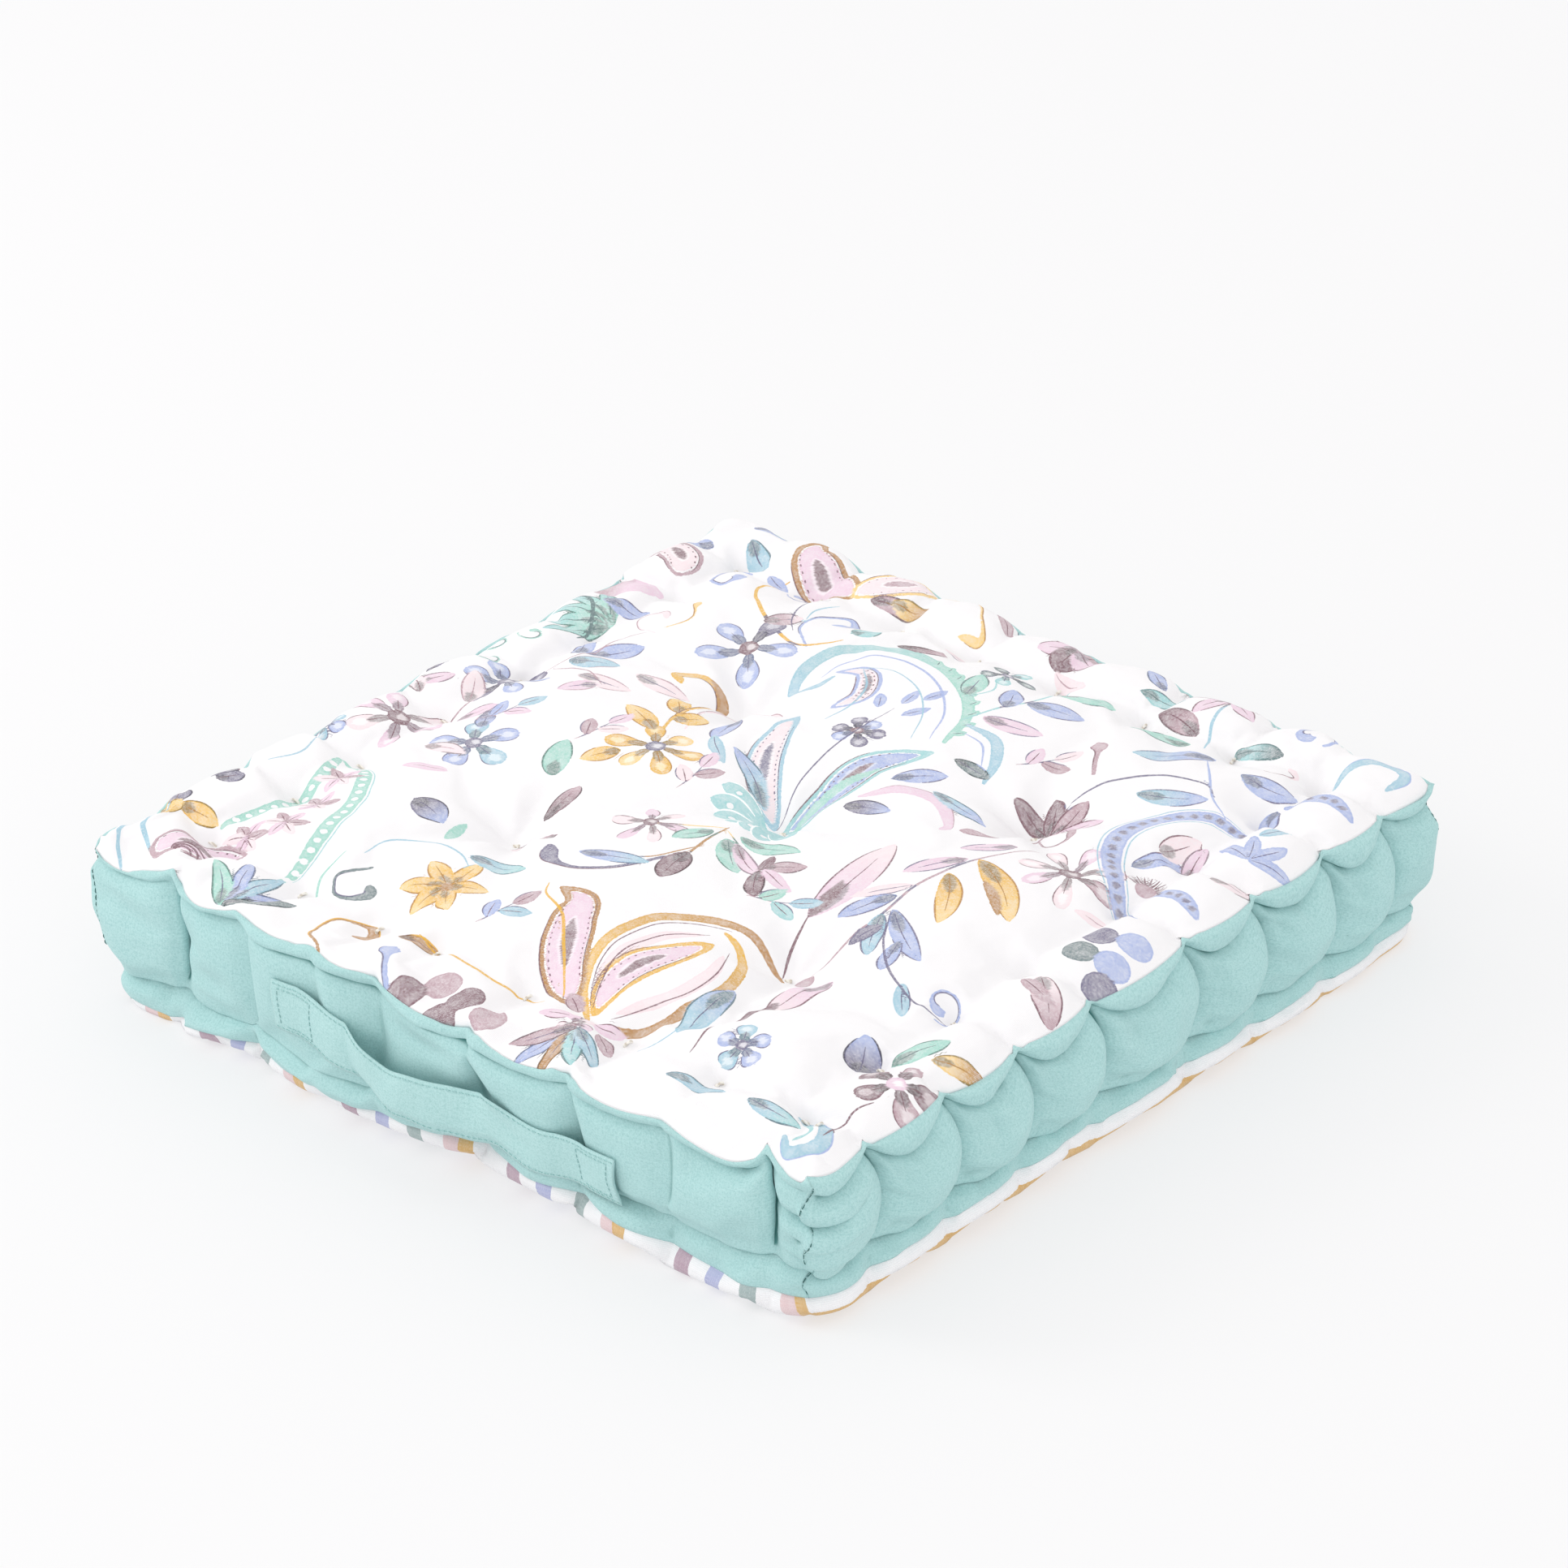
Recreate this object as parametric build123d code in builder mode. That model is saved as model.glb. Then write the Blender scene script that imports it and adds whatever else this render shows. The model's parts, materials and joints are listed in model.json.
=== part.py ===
"""Square tufted floor cushion with rolled edges, a boxed side and one carry handle.

Millimetres, with +Z up and the handle on the -Y side. Each piece is drawn about the cushion's own
upright centre line, and save() then places it so that the origin is the middle of the underside of
the whole object, handle included.

The cushion is a cloth cover sewn from six panels around three layers of wadding. Five ties run
through it from face to face, and slanted stitches along all four sides draw its edges into rolls.
The handle is one strap: its two ends are sewn flat to the front, and its middle bows out and sags.
"""

import os

from build123d import *

# The stuffed cushion
SIDE = 500.0
HEIGHT = 100.0
CORNER_R = 24.0
EDGE_R = 12.0
CLOTH = 1.0

# The seams that join the top and bottom panels to the side panels
TOP_SEAM_Z = HEIGHT - EDGE_R
BOTTOM_SEAM_Z = EDGE_R
SEAM_THREAD_R = 0.3

# The channels that the roll stitches pull into the cloth
ROLL_WIDTH = 42.0
FACE_CHANNEL_R = 9.0
FACE_CHANNEL_DEPTH = 6.0
FACE_CHANNEL_CORNER_R = 18.0
SIDE_CHANNEL_R = 7.0
SIDE_CHANNEL_DEPTH = 4.0
SIDE_CHANNEL_INSET = 20.0
UPPER_CHANNEL_Z = HEIGHT - SIDE_CHANNEL_INSET
LOWER_CHANNEL_Z = SIDE_CHANNEL_INSET + EDGE_R / 2

# Stitches and ties
STITCH_R = 0.6
STITCH_PROUD = 1.0
TIE_R = 0.8
TIE_CLEARANCE = 0.05
KNOT_R = 2.4
DIMPLE_R = 26.0
DIMPLE_DEPTH = 14.0

# Wadding layers, as the heights of the faces between them
LAYER_HEIGHTS = (0.0, 36.0, 66.0, HEIGHT)

# The carry handle, whose right end is sewn on lower than its left end
STRAP_WIDTH = 28.0
STRAP_THICKNESS = 2.0
STRAP_CENTRE_X = 16.0
STRAP_CENTRE_Z = 51.0
STRAP_TILT = 4.4
TAB_LENGTH = 30.0
TAB_STITCH_INSET = 4.0
GRIP_LENGTH = 172.0
GRIP_BOW = 19.0
GRIP_SAG = 7.0
GRIP_GAP = 0.4
HEM_INSET = 2.5
HEM_THREAD = 0.6

HALF = SIDE / 2
HANDLE_REACH = GRIP_GAP + STRAP_THICKNESS + GRIP_BOW + HEM_THREAD
PLACED = Location((0, HANDLE_REACH / 2, 0))
STRAP_MIDDLE = Location((STRAP_CENTRE_X, -HALF, STRAP_CENTRE_Z), (0, STRAP_TILT, 0))
STRAP_FROM_ABOVE = Plane(STRAP_MIDDLE)
STRAP_FROM_FRONT = Plane(STRAP_MIDDLE * Location((0, 0, 0), (90, 0, 0)))
OUTWARD = (Vector(0, -1, 0), Vector(1, 0, 0), Vector(0, 1, 0), Vector(-1, 0, 0))
ALONG = (Vector(1, 0, 0), Vector(0, 1, 0), Vector(-1, 0, 0), Vector(0, -1, 0))
SIDE_NAMES = ("front", "right", "back", "left")

# The cushion is stitched by hand, so the stitches along a side and the ties are a little uneven.
STITCH_PLACES = {
    "front": (-190, -132, -78, -38, 28, 97, 158, 221),
    "right": (-206, -148, -93, -35, 40, 96, 156, 207),
    "back": (-204, -150, -90, -30, 27, 84, 146, 200),
    "left": (-210, -152, -88, -33, 30, 92, 141, 203),
}
TIE_PLACES = {
    "centre": (12, 2),
    "front_left": (-90, -97),
    "front_right": (114, -108),
    "back_right": (116, 80),
    "back_left": (-88, 83),
}


def side_point(side, along, inward, height):
    """A point seen from one side: along it, inward from its face, and above the floor."""
    flat = ALONG[side] * along + OUTWARD[side] * (HALF - inward)
    return Vector(flat.X, flat.Y, height)


def save(name, part):
    """Places one finished piece, labels it and writes its STEP file."""
    part = part.moved(PLACED)
    part.label = name
    export_step(part, f"parts/{name}.step")
    print(f"{name}: {len(part.solids())} solids, {part.volume / 1000:.2f} cm3")


def ring_path(size, corner_r, height):
    """A closed rounded square, centred on the Z axis at one height."""
    with BuildSketch(Plane.XY.offset(height)) as outline:
        RectangleRounded(size, size, corner_r)
    return outline.sketch.faces()[0].outer_wire()


def ring(size, corner_r, height, radius):
    """A round bar bent along a rounded square."""
    path = ring_path(size, corner_r, height)
    with BuildPart() as bar:
        with BuildSketch(Plane(origin=path @ 0, z_dir=path % 0)):
            Circle(radius)
        sweep(path=path)
    return bar.part


def rod(start, end, radius):
    """A straight round bar from one point to another."""
    run = end - start
    with BuildPart() as bar:
        with BuildSketch(Plane(origin=start, z_dir=run)):
            Circle(radius)
        extrude(amount=run.length)
    return bar.part


def pad(inset):
    """The stuffed cushion's shape, with every face moved inward by inset."""
    face_ring = SIDE - 2 * ROLL_WIDTH
    face_lift = FACE_CHANNEL_R - FACE_CHANNEL_DEPTH
    side_lift = SIDE_CHANNEL_R - SIDE_CHANNEL_DEPTH
    dimple_lift = DIMPLE_R - DIMPLE_DEPTH
    with BuildPart() as shape:
        with BuildSketch(Plane.XY.offset(inset)):
            RectangleRounded(SIDE - 2 * inset, SIDE - 2 * inset, CORNER_R - inset)
        extrude(amount=HEIGHT - 2 * inset)
        rims = shape.edges().group_by(Axis.Z)
        fillet(rims[0] + rims[-1], EDGE_R - inset)
        for height in (HEIGHT + face_lift, -face_lift):
            add(
                ring(face_ring, FACE_CHANNEL_CORNER_R, height, FACE_CHANNEL_R + inset),
                mode=Mode.SUBTRACT,
            )
        for height in (UPPER_CHANNEL_Z, LOWER_CHANNEL_Z):
            size = SIDE + 2 * side_lift
            add(
                ring(size, CORNER_R + side_lift, height, SIDE_CHANNEL_R + inset),
                mode=Mode.SUBTRACT,
            )
        dimples = [
            (x, y, z)
            for x, y in TIE_PLACES.values()
            for z in (HEIGHT + dimple_lift, -dimple_lift)
        ]
        with Locations(*dimples):
            Sphere(DIMPLE_R + inset, mode=Mode.SUBTRACT)
    return shape.part


def face_zone(seam_z, reach):
    """The space of a face panel: all beyond its seam, and deeper where its dimples are."""
    with BuildPart() as zone:
        with BuildSketch(Plane.XY.offset(seam_z)):
            Rectangle(2 * SIDE, 2 * SIDE)
        extrude(amount=reach)
        with BuildSketch(Plane.XY.offset(seam_z)):
            Rectangle(SIDE - 2 * ROLL_WIDTH, SIDE - 2 * ROLL_WIDTH)
        extrude(amount=-reach / 2)
    return zone.part


def roll_stitch_ends(side, along, top):
    """Where one roll stitch starts in a face's channel and ends in a side's channel."""
    sunk_face = FACE_CHANNEL_DEPTH - STITCH_PROUD
    sunk_side = SIDE_CHANNEL_DEPTH - STITCH_PROUD
    if top:
        face_z = HEIGHT - sunk_face
        side_z = UPPER_CHANNEL_Z
    else:
        face_z = sunk_face
        side_z = LOWER_CHANNEL_Z
    start = side_point(side, along, ROLL_WIDTH, face_z)
    end = side_point(side, along, sunk_side, side_z)
    return start, end


def roll_stitches(side, top, radius):
    """All the slanted stitches that form one side's upper or lower roll."""
    with BuildPart() as stitches:
        for along in STITCH_PLACES[SIDE_NAMES[side]]:
            start, end = roll_stitch_ends(side, along, top)
            add(rod(start, end, radius))
    return stitches.part


def tie(place, radius):
    """The cord of one tuft, from the top dimple to the bottom one."""
    x, y = place
    low = DIMPLE_DEPTH - KNOT_R
    with BuildPart() as cord:
        add(rod(Vector(x, y, low), Vector(x, y, HEIGHT - low), radius))
    return cord.part


def seam_threads():
    """The stitching of the two edge seams and the four corner seams, inside the cloth."""
    half_cloth = CLOTH / 2
    size = SIDE - CLOTH
    top = ring(size, CORNER_R - half_cloth, TOP_SEAM_Z, SEAM_THREAD_R)
    bottom = ring(size, CORNER_R - half_cloth, BOTTOM_SEAM_Z, SEAM_THREAD_R)
    diagonal = HALF - CORNER_R + (CORNER_R - half_cloth) * 0.5**0.5
    clear = SIDE_CHANNEL_R + SEAM_THREAD_R
    runs = (
        (BOTTOM_SEAM_Z + CLOTH, LOWER_CHANNEL_Z - clear),
        (LOWER_CHANNEL_Z + clear, UPPER_CHANNEL_Z - clear),
    )
    with BuildPart() as corners:
        for low, high in runs:
            spots = [(x, y, low) for x in (-diagonal, diagonal) for y in (-diagonal, diagonal)]
            with Locations(*spots):
                Cylinder(
                    SEAM_THREAD_R,
                    high - low,
                    align=(Align.CENTER, Align.CENTER, Align.MIN),
                )
    return top, bottom, corners.part


def bowed_line(half, depth, across):
    """The five points of a strap line that lies at across and moves by depth in its middle."""
    return [
        (-half, across),
        (-half / 2, across + depth / 2),
        (0, across + depth),
        (half / 2, across + depth / 2),
        (half, across),
    ]


def bowed_band(plane, depth, first, second):
    """The flat region between two strap lines, drawn on a plane and centred on it."""
    half = GRIP_LENGTH / 2 - GRIP_GAP
    with BuildSketch(plane) as band:
        with BuildLine():
            one = Spline(*bowed_line(half, depth, first), tangents=((1, 0), (1, 0)))
            other = Spline(*bowed_line(half, depth, second), tangents=((1, 0), (1, 0)))
            Line(one @ 0, other @ 0)
            Line(one @ 1, other @ 1)
        make_face()
    return band.sketch


def strap_run(inner, outer, low, high):
    """The free middle of the strap between two distances from the side and two heights."""
    across, outward = STRAP_FROM_ABOVE.z_dir, STRAP_FROM_FRONT.z_dir
    seen_from_above = bowed_band(STRAP_FROM_ABOVE, -GRIP_BOW, -inner, -outer)
    seen_from_front = bowed_band(STRAP_FROM_FRONT, -GRIP_SAG, low, high)
    with BuildPart() as run:
        extrude(seen_from_above, amount=2 * STRAP_WIDTH, dir=across, both=True)
        extrude(seen_from_front, amount=4 * GRIP_BOW, dir=outward, mode=Mode.INTERSECT)
    return run.part


os.makedirs("parts", exist_ok=True)

# Threads first, because the cloth and the wadding have holes for them.
top_seam, bottom_seam, corner_seams = seam_threads()
save("top_seam_stitching", top_seam)
save("bottom_seam_stitching", bottom_seam)
save("corner_seam_stitching", corner_seams)

for side, name in enumerate(SIDE_NAMES):
    save(f"{name}_top_roll_stitches", roll_stitches(side, True, STITCH_R))
    save(f"{name}_bottom_roll_stitches", roll_stitches(side, False, STITCH_R))

for name, place in TIE_PLACES.items():
    knot_z = DIMPLE_DEPTH - KNOT_R - TIE_CLEARANCE
    with BuildPart() as tuft:
        add(tie(place, TIE_R))
        with Locations((*place, knot_z), (*place, HEIGHT - knot_z)):
            Sphere(KNOT_R)
    save(f"{name}_tuft_tie", tuft.part)

# Every hole that a thread needs, slightly wider than the thread.
with BuildPart() as needle_holes:
    for side in range(len(OUTWARD)):
        for top in (True, False):
            add(roll_stitches(side, top, STITCH_R + TIE_CLEARANCE))
    for place in TIE_PLACES.values():
        add(tie(place, TIE_R + TIE_CLEARANCE))

filling_shape = pad(CLOTH)

with BuildPart() as cover:
    add(pad(0.0))
    add(filling_shape, mode=Mode.SUBTRACT)
    add(needle_holes.part, mode=Mode.SUBTRACT)
    add(top_seam, mode=Mode.SUBTRACT)
    add(bottom_seam, mode=Mode.SUBTRACT)
    add(corner_seams, mode=Mode.SUBTRACT)

with BuildPart() as filling:
    add(filling_shape)
    add(needle_holes.part, mode=Mode.SUBTRACT)

# The two face panels end at their seams, and their dimples reach past them further in.
face_panels = (("top_panel", TOP_SEAM_Z, HEIGHT / 2), ("bottom_panel", BOTTOM_SEAM_Z, -HEIGHT / 2))
for name, seam_z, reach in face_panels:
    with BuildPart() as face_panel:
        add(cover.part)
        add(face_zone(seam_z, reach), mode=Mode.INTERSECT)
    save(name, face_panel.part)

for side, name in enumerate(SIDE_NAMES):
    left = (OUTWARD[side] - ALONG[side]) * SIDE
    right = (OUTWARD[side] + ALONG[side]) * SIDE
    with BuildPart() as side_panel:
        add(cover.part)
        with BuildSketch(Plane.XY.offset(BOTTOM_SEAM_Z)):
            with BuildLine():
                Polyline((0, 0), (left.X, left.Y), (right.X, right.Y), close=True)
            make_face()
            Rectangle(SIDE - 2 * ROLL_WIDTH, SIDE - 2 * ROLL_WIDTH, mode=Mode.SUBTRACT)
        extrude(amount=TOP_SEAM_Z - BOTTOM_SEAM_Z, mode=Mode.INTERSECT)
    save(f"{name}_side_panel", side_panel.part)

for layer, name in enumerate(("lower", "middle", "upper")):
    low, high = LAYER_HEIGHTS[layer], LAYER_HEIGHTS[layer + 1]
    with BuildPart() as wadding:
        add(filling.part)
        with BuildSketch(Plane.XY.offset(low)):
            Rectangle(2 * SIDE, 2 * SIDE)
        extrude(amount=high - low, mode=Mode.INTERSECT)
    save(f"{name}_wadding_layer", wadding.part)

# The strap's two sewn ends lie flat on the front panel, each under a stitched rectangle.
for name, direction in (("left", -1), ("right", 1)):
    tab_x = direction * (GRIP_LENGTH + TAB_LENGTH) / 2
    with BuildPart() as tab:
        with BuildSketch(STRAP_FROM_FRONT):
            with Locations((tab_x, 0)):
                Rectangle(TAB_LENGTH, STRAP_WIDTH)
        extrude(amount=STRAP_THICKNESS)
    save(f"handle_{name}_tab", tab.part)
    stitched_length = TAB_LENGTH - 2 * TAB_STITCH_INSET
    stitched_width = STRAP_WIDTH - 2 * TAB_STITCH_INSET
    with BuildPart() as tab_stitching:
        with BuildSketch(STRAP_FROM_FRONT.offset(STRAP_THICKNESS)):
            with Locations((tab_x, 0)):
                Rectangle(stitched_length, stitched_width)
                Rectangle(
                    stitched_length - 2 * HEM_THREAD,
                    stitched_width - 2 * HEM_THREAD,
                    mode=Mode.SUBTRACT,
                )
        extrude(amount=HEM_THREAD)
    save(f"handle_{name}_tab_stitching", tab_stitching.part)

# The free middle of the strap, and the two rows of stitching that hem its edges.
inner_face = GRIP_GAP
outer_face = GRIP_GAP + STRAP_THICKNESS
edge = STRAP_WIDTH / 2
save("handle_grip", strap_run(inner_face, outer_face, -edge, edge))

hem_z = edge - HEM_INSET
with BuildPart() as hem:
    for low in (-hem_z, hem_z - HEM_THREAD):
        add(strap_run(outer_face, outer_face + HEM_THREAD, low, low + HEM_THREAD))
save("handle_hem_stitching", hem.part)
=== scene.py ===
"""The looks of the floor cushion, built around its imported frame. Metres, in the frame's own axes."""

import json
import math

import bmesh
import bpy
import numpy as np
from mathutils import Matrix, Vector


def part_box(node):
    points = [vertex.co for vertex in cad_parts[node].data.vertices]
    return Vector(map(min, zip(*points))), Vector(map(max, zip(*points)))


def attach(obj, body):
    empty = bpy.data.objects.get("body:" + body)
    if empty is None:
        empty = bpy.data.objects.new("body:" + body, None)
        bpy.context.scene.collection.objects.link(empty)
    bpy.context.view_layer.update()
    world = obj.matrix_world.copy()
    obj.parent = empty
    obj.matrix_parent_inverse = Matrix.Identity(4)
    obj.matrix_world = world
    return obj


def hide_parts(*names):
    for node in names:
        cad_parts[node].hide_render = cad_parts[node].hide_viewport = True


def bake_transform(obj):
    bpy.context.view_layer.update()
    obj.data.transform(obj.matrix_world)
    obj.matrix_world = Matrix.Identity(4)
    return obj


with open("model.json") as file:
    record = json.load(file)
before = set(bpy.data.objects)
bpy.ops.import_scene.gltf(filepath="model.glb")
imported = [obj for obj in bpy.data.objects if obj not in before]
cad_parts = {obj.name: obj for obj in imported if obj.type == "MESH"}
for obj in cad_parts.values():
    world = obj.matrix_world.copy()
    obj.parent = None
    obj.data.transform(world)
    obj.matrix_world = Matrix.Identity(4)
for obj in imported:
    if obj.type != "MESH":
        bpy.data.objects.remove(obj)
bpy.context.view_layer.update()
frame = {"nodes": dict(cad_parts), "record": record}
NODES = frame["nodes"]
MM = 0.001

# ---------------------------------------------------------------- measures that the frame gives
top_low, top_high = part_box("top_panel")
MIDDLE = (top_low + top_high) / 2
CENTRE_Y = MIDDLE.y / MM
HALF = (top_high.x - top_low.x) / 2 / MM
HEIGHT = top_high.z / MM
SIDES = ("front", "right", "back", "left")
OUTWARD = np.array([(0, -1), (1, 0), (0, 1), (-1, 0)], float)
ALONG = np.array([(1, 0), (0, 1), (-1, 0), (0, -1)], float)


def unit(vectors):
    """Vectors scaled to a length of one."""
    return vectors / np.maximum(np.linalg.norm(vectors, axis=-1, keepdims=True), 1e-9)


def bell(distance, width):
    """A smooth bump: 1 where the distance is 0, fading over the width."""
    return np.exp(-((distance / width) ** 2))


def catmull_rom(a, b, c, d, t):
    """The smooth curve between b and c that passes through all four."""
    return 0.5 * (2 * b + (c - a) * t + (2 * a - 5 * b + 4 * c - d) * t**2 + (3 * b - a - 3 * c + d) * t**3)


def quads(ids, flipped=False):
    """The quads between neighbouring points of a grid of point numbers."""
    corners = [ids[:-1, :-1], ids[1:, :-1], ids[1:, 1:], ids[:-1, 1:]]
    if flipped:
        corners = corners[:1] + corners[:0:-1]
    return np.stack(corners, -1).reshape(-1, 4)


def box_ids(n, m):
    """Point numbers of a closed box of quads: its upper and lower faces, and the rings down its sides."""
    count = (n + 1) ** 2
    upper = np.arange(count).reshape(n + 1, n + 1)
    rim = np.concatenate([upper[:-1, 0], upper[-1, :-1], upper[:0:-1, -1], upper[0, :0:-1]])
    inner = np.arange(4 * n * (m - 1)).reshape(m - 1, 4 * n) + 2 * count
    return upper, upper + count, np.vstack([rim, inner, rim + count])


def closed(rings):
    """Rings of points with each ring's first point again at its end."""
    return np.hstack([rings, rings[:, :1]])


def add_object(name, data):
    """A new object in the scene."""
    obj = bpy.data.objects.new(name, data)
    bpy.context.scene.collection.objects.link(obj)
    return obj


def new_mesh(name, points, faces, smooth=True):
    """A mesh object from points in millimetres about the cushion's centre line."""
    mesh = bpy.data.meshes.new(name)
    mesh.from_pydata(((points + (0, CENTRE_Y, 0)) * MM).tolist(), [], faces)
    mesh.polygons.foreach_set("use_smooth", [smooth] * len(mesh.polygons))
    return add_object(name, mesh)


def vertices(obj):
    """A mesh's points in millimetres about the cushion's own centre line."""
    co = np.empty(len(obj.data.vertices) * 3)
    obj.data.vertices.foreach_get("co", co)
    return co.reshape(-1, 3) / MM - (0, CENTRE_Y, 0)


def stitch_places(side):
    """How far along a side each of its roll stitches lies, read from the CAD stitches."""
    points = vertices(NODES[f"{SIDES[side]}_top_roll_stitches"])[:, :2] @ ALONG[side]
    order = np.sort(points)
    groups = np.split(order, np.flatnonzero(np.diff(order) > 5) + 1)
    return np.array([group.mean() for group in groups])


STITCHES = [stitch_places(side) for side in range(4)]
TUFTS = ("centre", "front_left", "front_right", "back_right", "back_left")
TIE_NAMES = [f"{tuft}_tuft_tie" for tuft in TUFTS]
TIE_BOXES = [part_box(name) for name in TIE_NAMES]
TIES = [((low + high) / 2 / MM - Vector((0, CENTRE_Y, 0))).xy for low, high in TIE_BOXES]

# ---------------------------------------------------------------- the cover's starting shape
SIM_FRAMES = 24
CREST = 98.0         # above this height the cloth is pressed down by half
CELLS = 124          # quads along each edge of a face
ROWS = 26            # quads down each side, from seam to seam
LIP_ROW, TUCK_ROW, CREASE_ROW = 3, 9, 20
ROLL = 42.0          # how far in from the seam the rolls are stitched
TOP_CORNER, BOTTOM_CORNER = 13, 30     # radius of the cover's corners at its two seams
# How deep a tuft sinks and how far its hollow reaches, above and below; then the same for a roll stitch.
TUFT_TOP, TUFT_BOTTOM = (15, 22), (7, 19)
DIMPLE_DEPTH, DIMPLE_REACH = 5.5, 11
TIE_HOLDS, STITCH_HOLDS = 4.2, 3.2     # how far around itself a tie or stitch holds the cloth
EDGE = 2 * HALF      # along one side
# Height of the upper and lower face against the distance in from their seams.
TOP_PROFILE = ((0, 5, 12, 21, 31, 42, 56, 90, 250), (90, 94, 97, 98, 95.5, 90, 93, 95.5, 97))
BOTTOM_PROFILE = ((0, 4, 9, 16, 30, 42, 60, 250), (12, 6.5, 2, 0.5, 1, 3, 1, 1))
# Each side's seam heights, and how its puffs lean along the side and hang under the top seam.
SEAM_PLACES = (-250, -160, -60, 20, 100, 170, 250)
TOP_SEAM = ((93, 95, 94, 89, 90, 90, 89), (89, 90, 89, 90, 90, 89, 90),
            (90, 91, 90, 89, 91, 90, 91), (91, 90, 89, 91, 92, 93, 93))
NICK = 29     # from the front right corner, along the front side, to a small tuck in the top seam
BOTTOM_SEAM = ((4, 6, 12, 14, 14, 14, 14), (14, 15, 15, 13, 11, 9, 7),
               (7, 9, 11, 11, 12, 11, 10), (9, 10, 12, 11, 10, 11, 10))
LEAN = (4.0, 9.0, 6.0, -6.0)
LIP = (5.0, 14.0, 12.0, 10.0)
# How hard each roll stitch pulls the cloth in, at the top of the side and lower down.
PULL = ((1.0, 0.3, 0.2, 0.15, 0.2, 0.25, 0.35, 1.0), (1.0,) * 8, (0.9,) * 8, (0.8,) * 8)
PULL_LOW = ((1.0, 0.1, 0.05, 0.05, 0.05, 0.1, 0.2, 1.0), (1.0,) * 8, (0.9,) * 8, (0.7,) * 8)
# How much higher the far end of each puff stands than its near end, and how full the puffs are.
SKEW = (0.25, 0.55, 0.4, -0.3)
FULL = (0.6, 1.0, 0.95, 0.9)
RISE = (-6.0, 3.0, 4.0, 4.0)     # how the top seam rises or droops between its stitches


def round_corners(x, y, radius):
    """Moves points of a square so that its corners have that radius."""
    core = HALF - radius
    over_x, over_y = np.abs(x) - core, np.abs(y) - core
    at_corner = (over_x > 0) & (over_y > 0)
    reach = np.maximum(over_x, over_y)
    length = np.hypot(over_x, over_y)
    scale = np.where(at_corner, reach / np.where(length > 0, length, 1), 1)
    new_x = np.where(at_corner, core + over_x * scale, np.abs(x)) * np.sign(x)
    new_y = np.where(at_corner, core + over_y * scale, np.abs(y)) * np.sign(y)
    return new_x, new_y


def outward(x, y, radius):
    """The direction straight out of a square's rounded edge."""
    core = HALF - radius
    return unit(np.stack([x - np.clip(x, -core, core), y - np.clip(y, -core, core)], -1))


def rim_place(x, y):
    """How far round the rim a point is, from the front left corner by way of the front."""
    side = np.where(np.abs(y) >= np.abs(x), np.where(y < 0, 0, 2), np.where(x > 0, 1, 3))
    along = np.choose(side, (x, y, -x, -y))
    return side * EDGE + HALF + along


class Rim:
    """What changes round the rim: the puffs between stitches, the seams' heights and the lean."""

    STITCHES = np.concatenate([i * EDGE + HALF + STITCHES[i] for i in range(4)])

    def __init__(self, place):
        place = place % (4 * EDGE)
        line = np.concatenate([self.STITCHES[-1:] - 4 * EDGE, self.STITCHES, self.STITCHES[:1] + 4 * EDGE])
        at = np.searchsorted(line, place, side="right")
        left, right = line[at - 1], line[np.minimum(at, len(line) - 1)]
        self.share = (place - left) / (right - left)
        self.gap = np.minimum(place - left, right - place)
        self.side = (place // EDGE).astype(int)
        strength = [np.concatenate(rows) for rows in (PULL, PULL_LOW)]
        near = np.where(self.share < 0.5, at - 2, at - 1) % len(strength[0])
        self.pull, self.pull_low = strength[0][near], strength[1][near]
        skew = np.choose(self.side, SKEW)
        self.bulge = np.sin(np.pi * self.share ** (1 + 0.6 * skew))
        self.arch = 1 - self.pull * (1 - np.sin(np.pi * self.share))
        self.scallop = 0.5 - np.clip(self.pull, 0.5, 1) * (1 - np.sin(np.pi * self.share))
        self.full = np.choose(self.side, FULL)
        self.rise = np.choose(self.side, RISE)
        along = place % EDGE - HALF
        self.corner = HALF - np.abs(along)
        self.front_corner = np.abs(place - EDGE)
        self.behind_strap = np.exp(-(((place - HALF + 25) / 135) ** 6)) * (self.side == 0)

        def pick(rows):
            return np.choose(self.side, [np.interp(along, SEAM_PLACES, row) for row in rows])

        self.top = pick(TOP_SEAM) + 4 * bell(place - EDGE + NICK, 6)
        self.bottom = pick(BOTTOM_SEAM)
        fade = np.clip(self.corner / 45, 0, 1)
        self.lean = np.choose(self.side, LEAN) * fade
        self.lip = np.choose(self.side, LIP) * (0.4 + 0.6 * fade)


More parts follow.
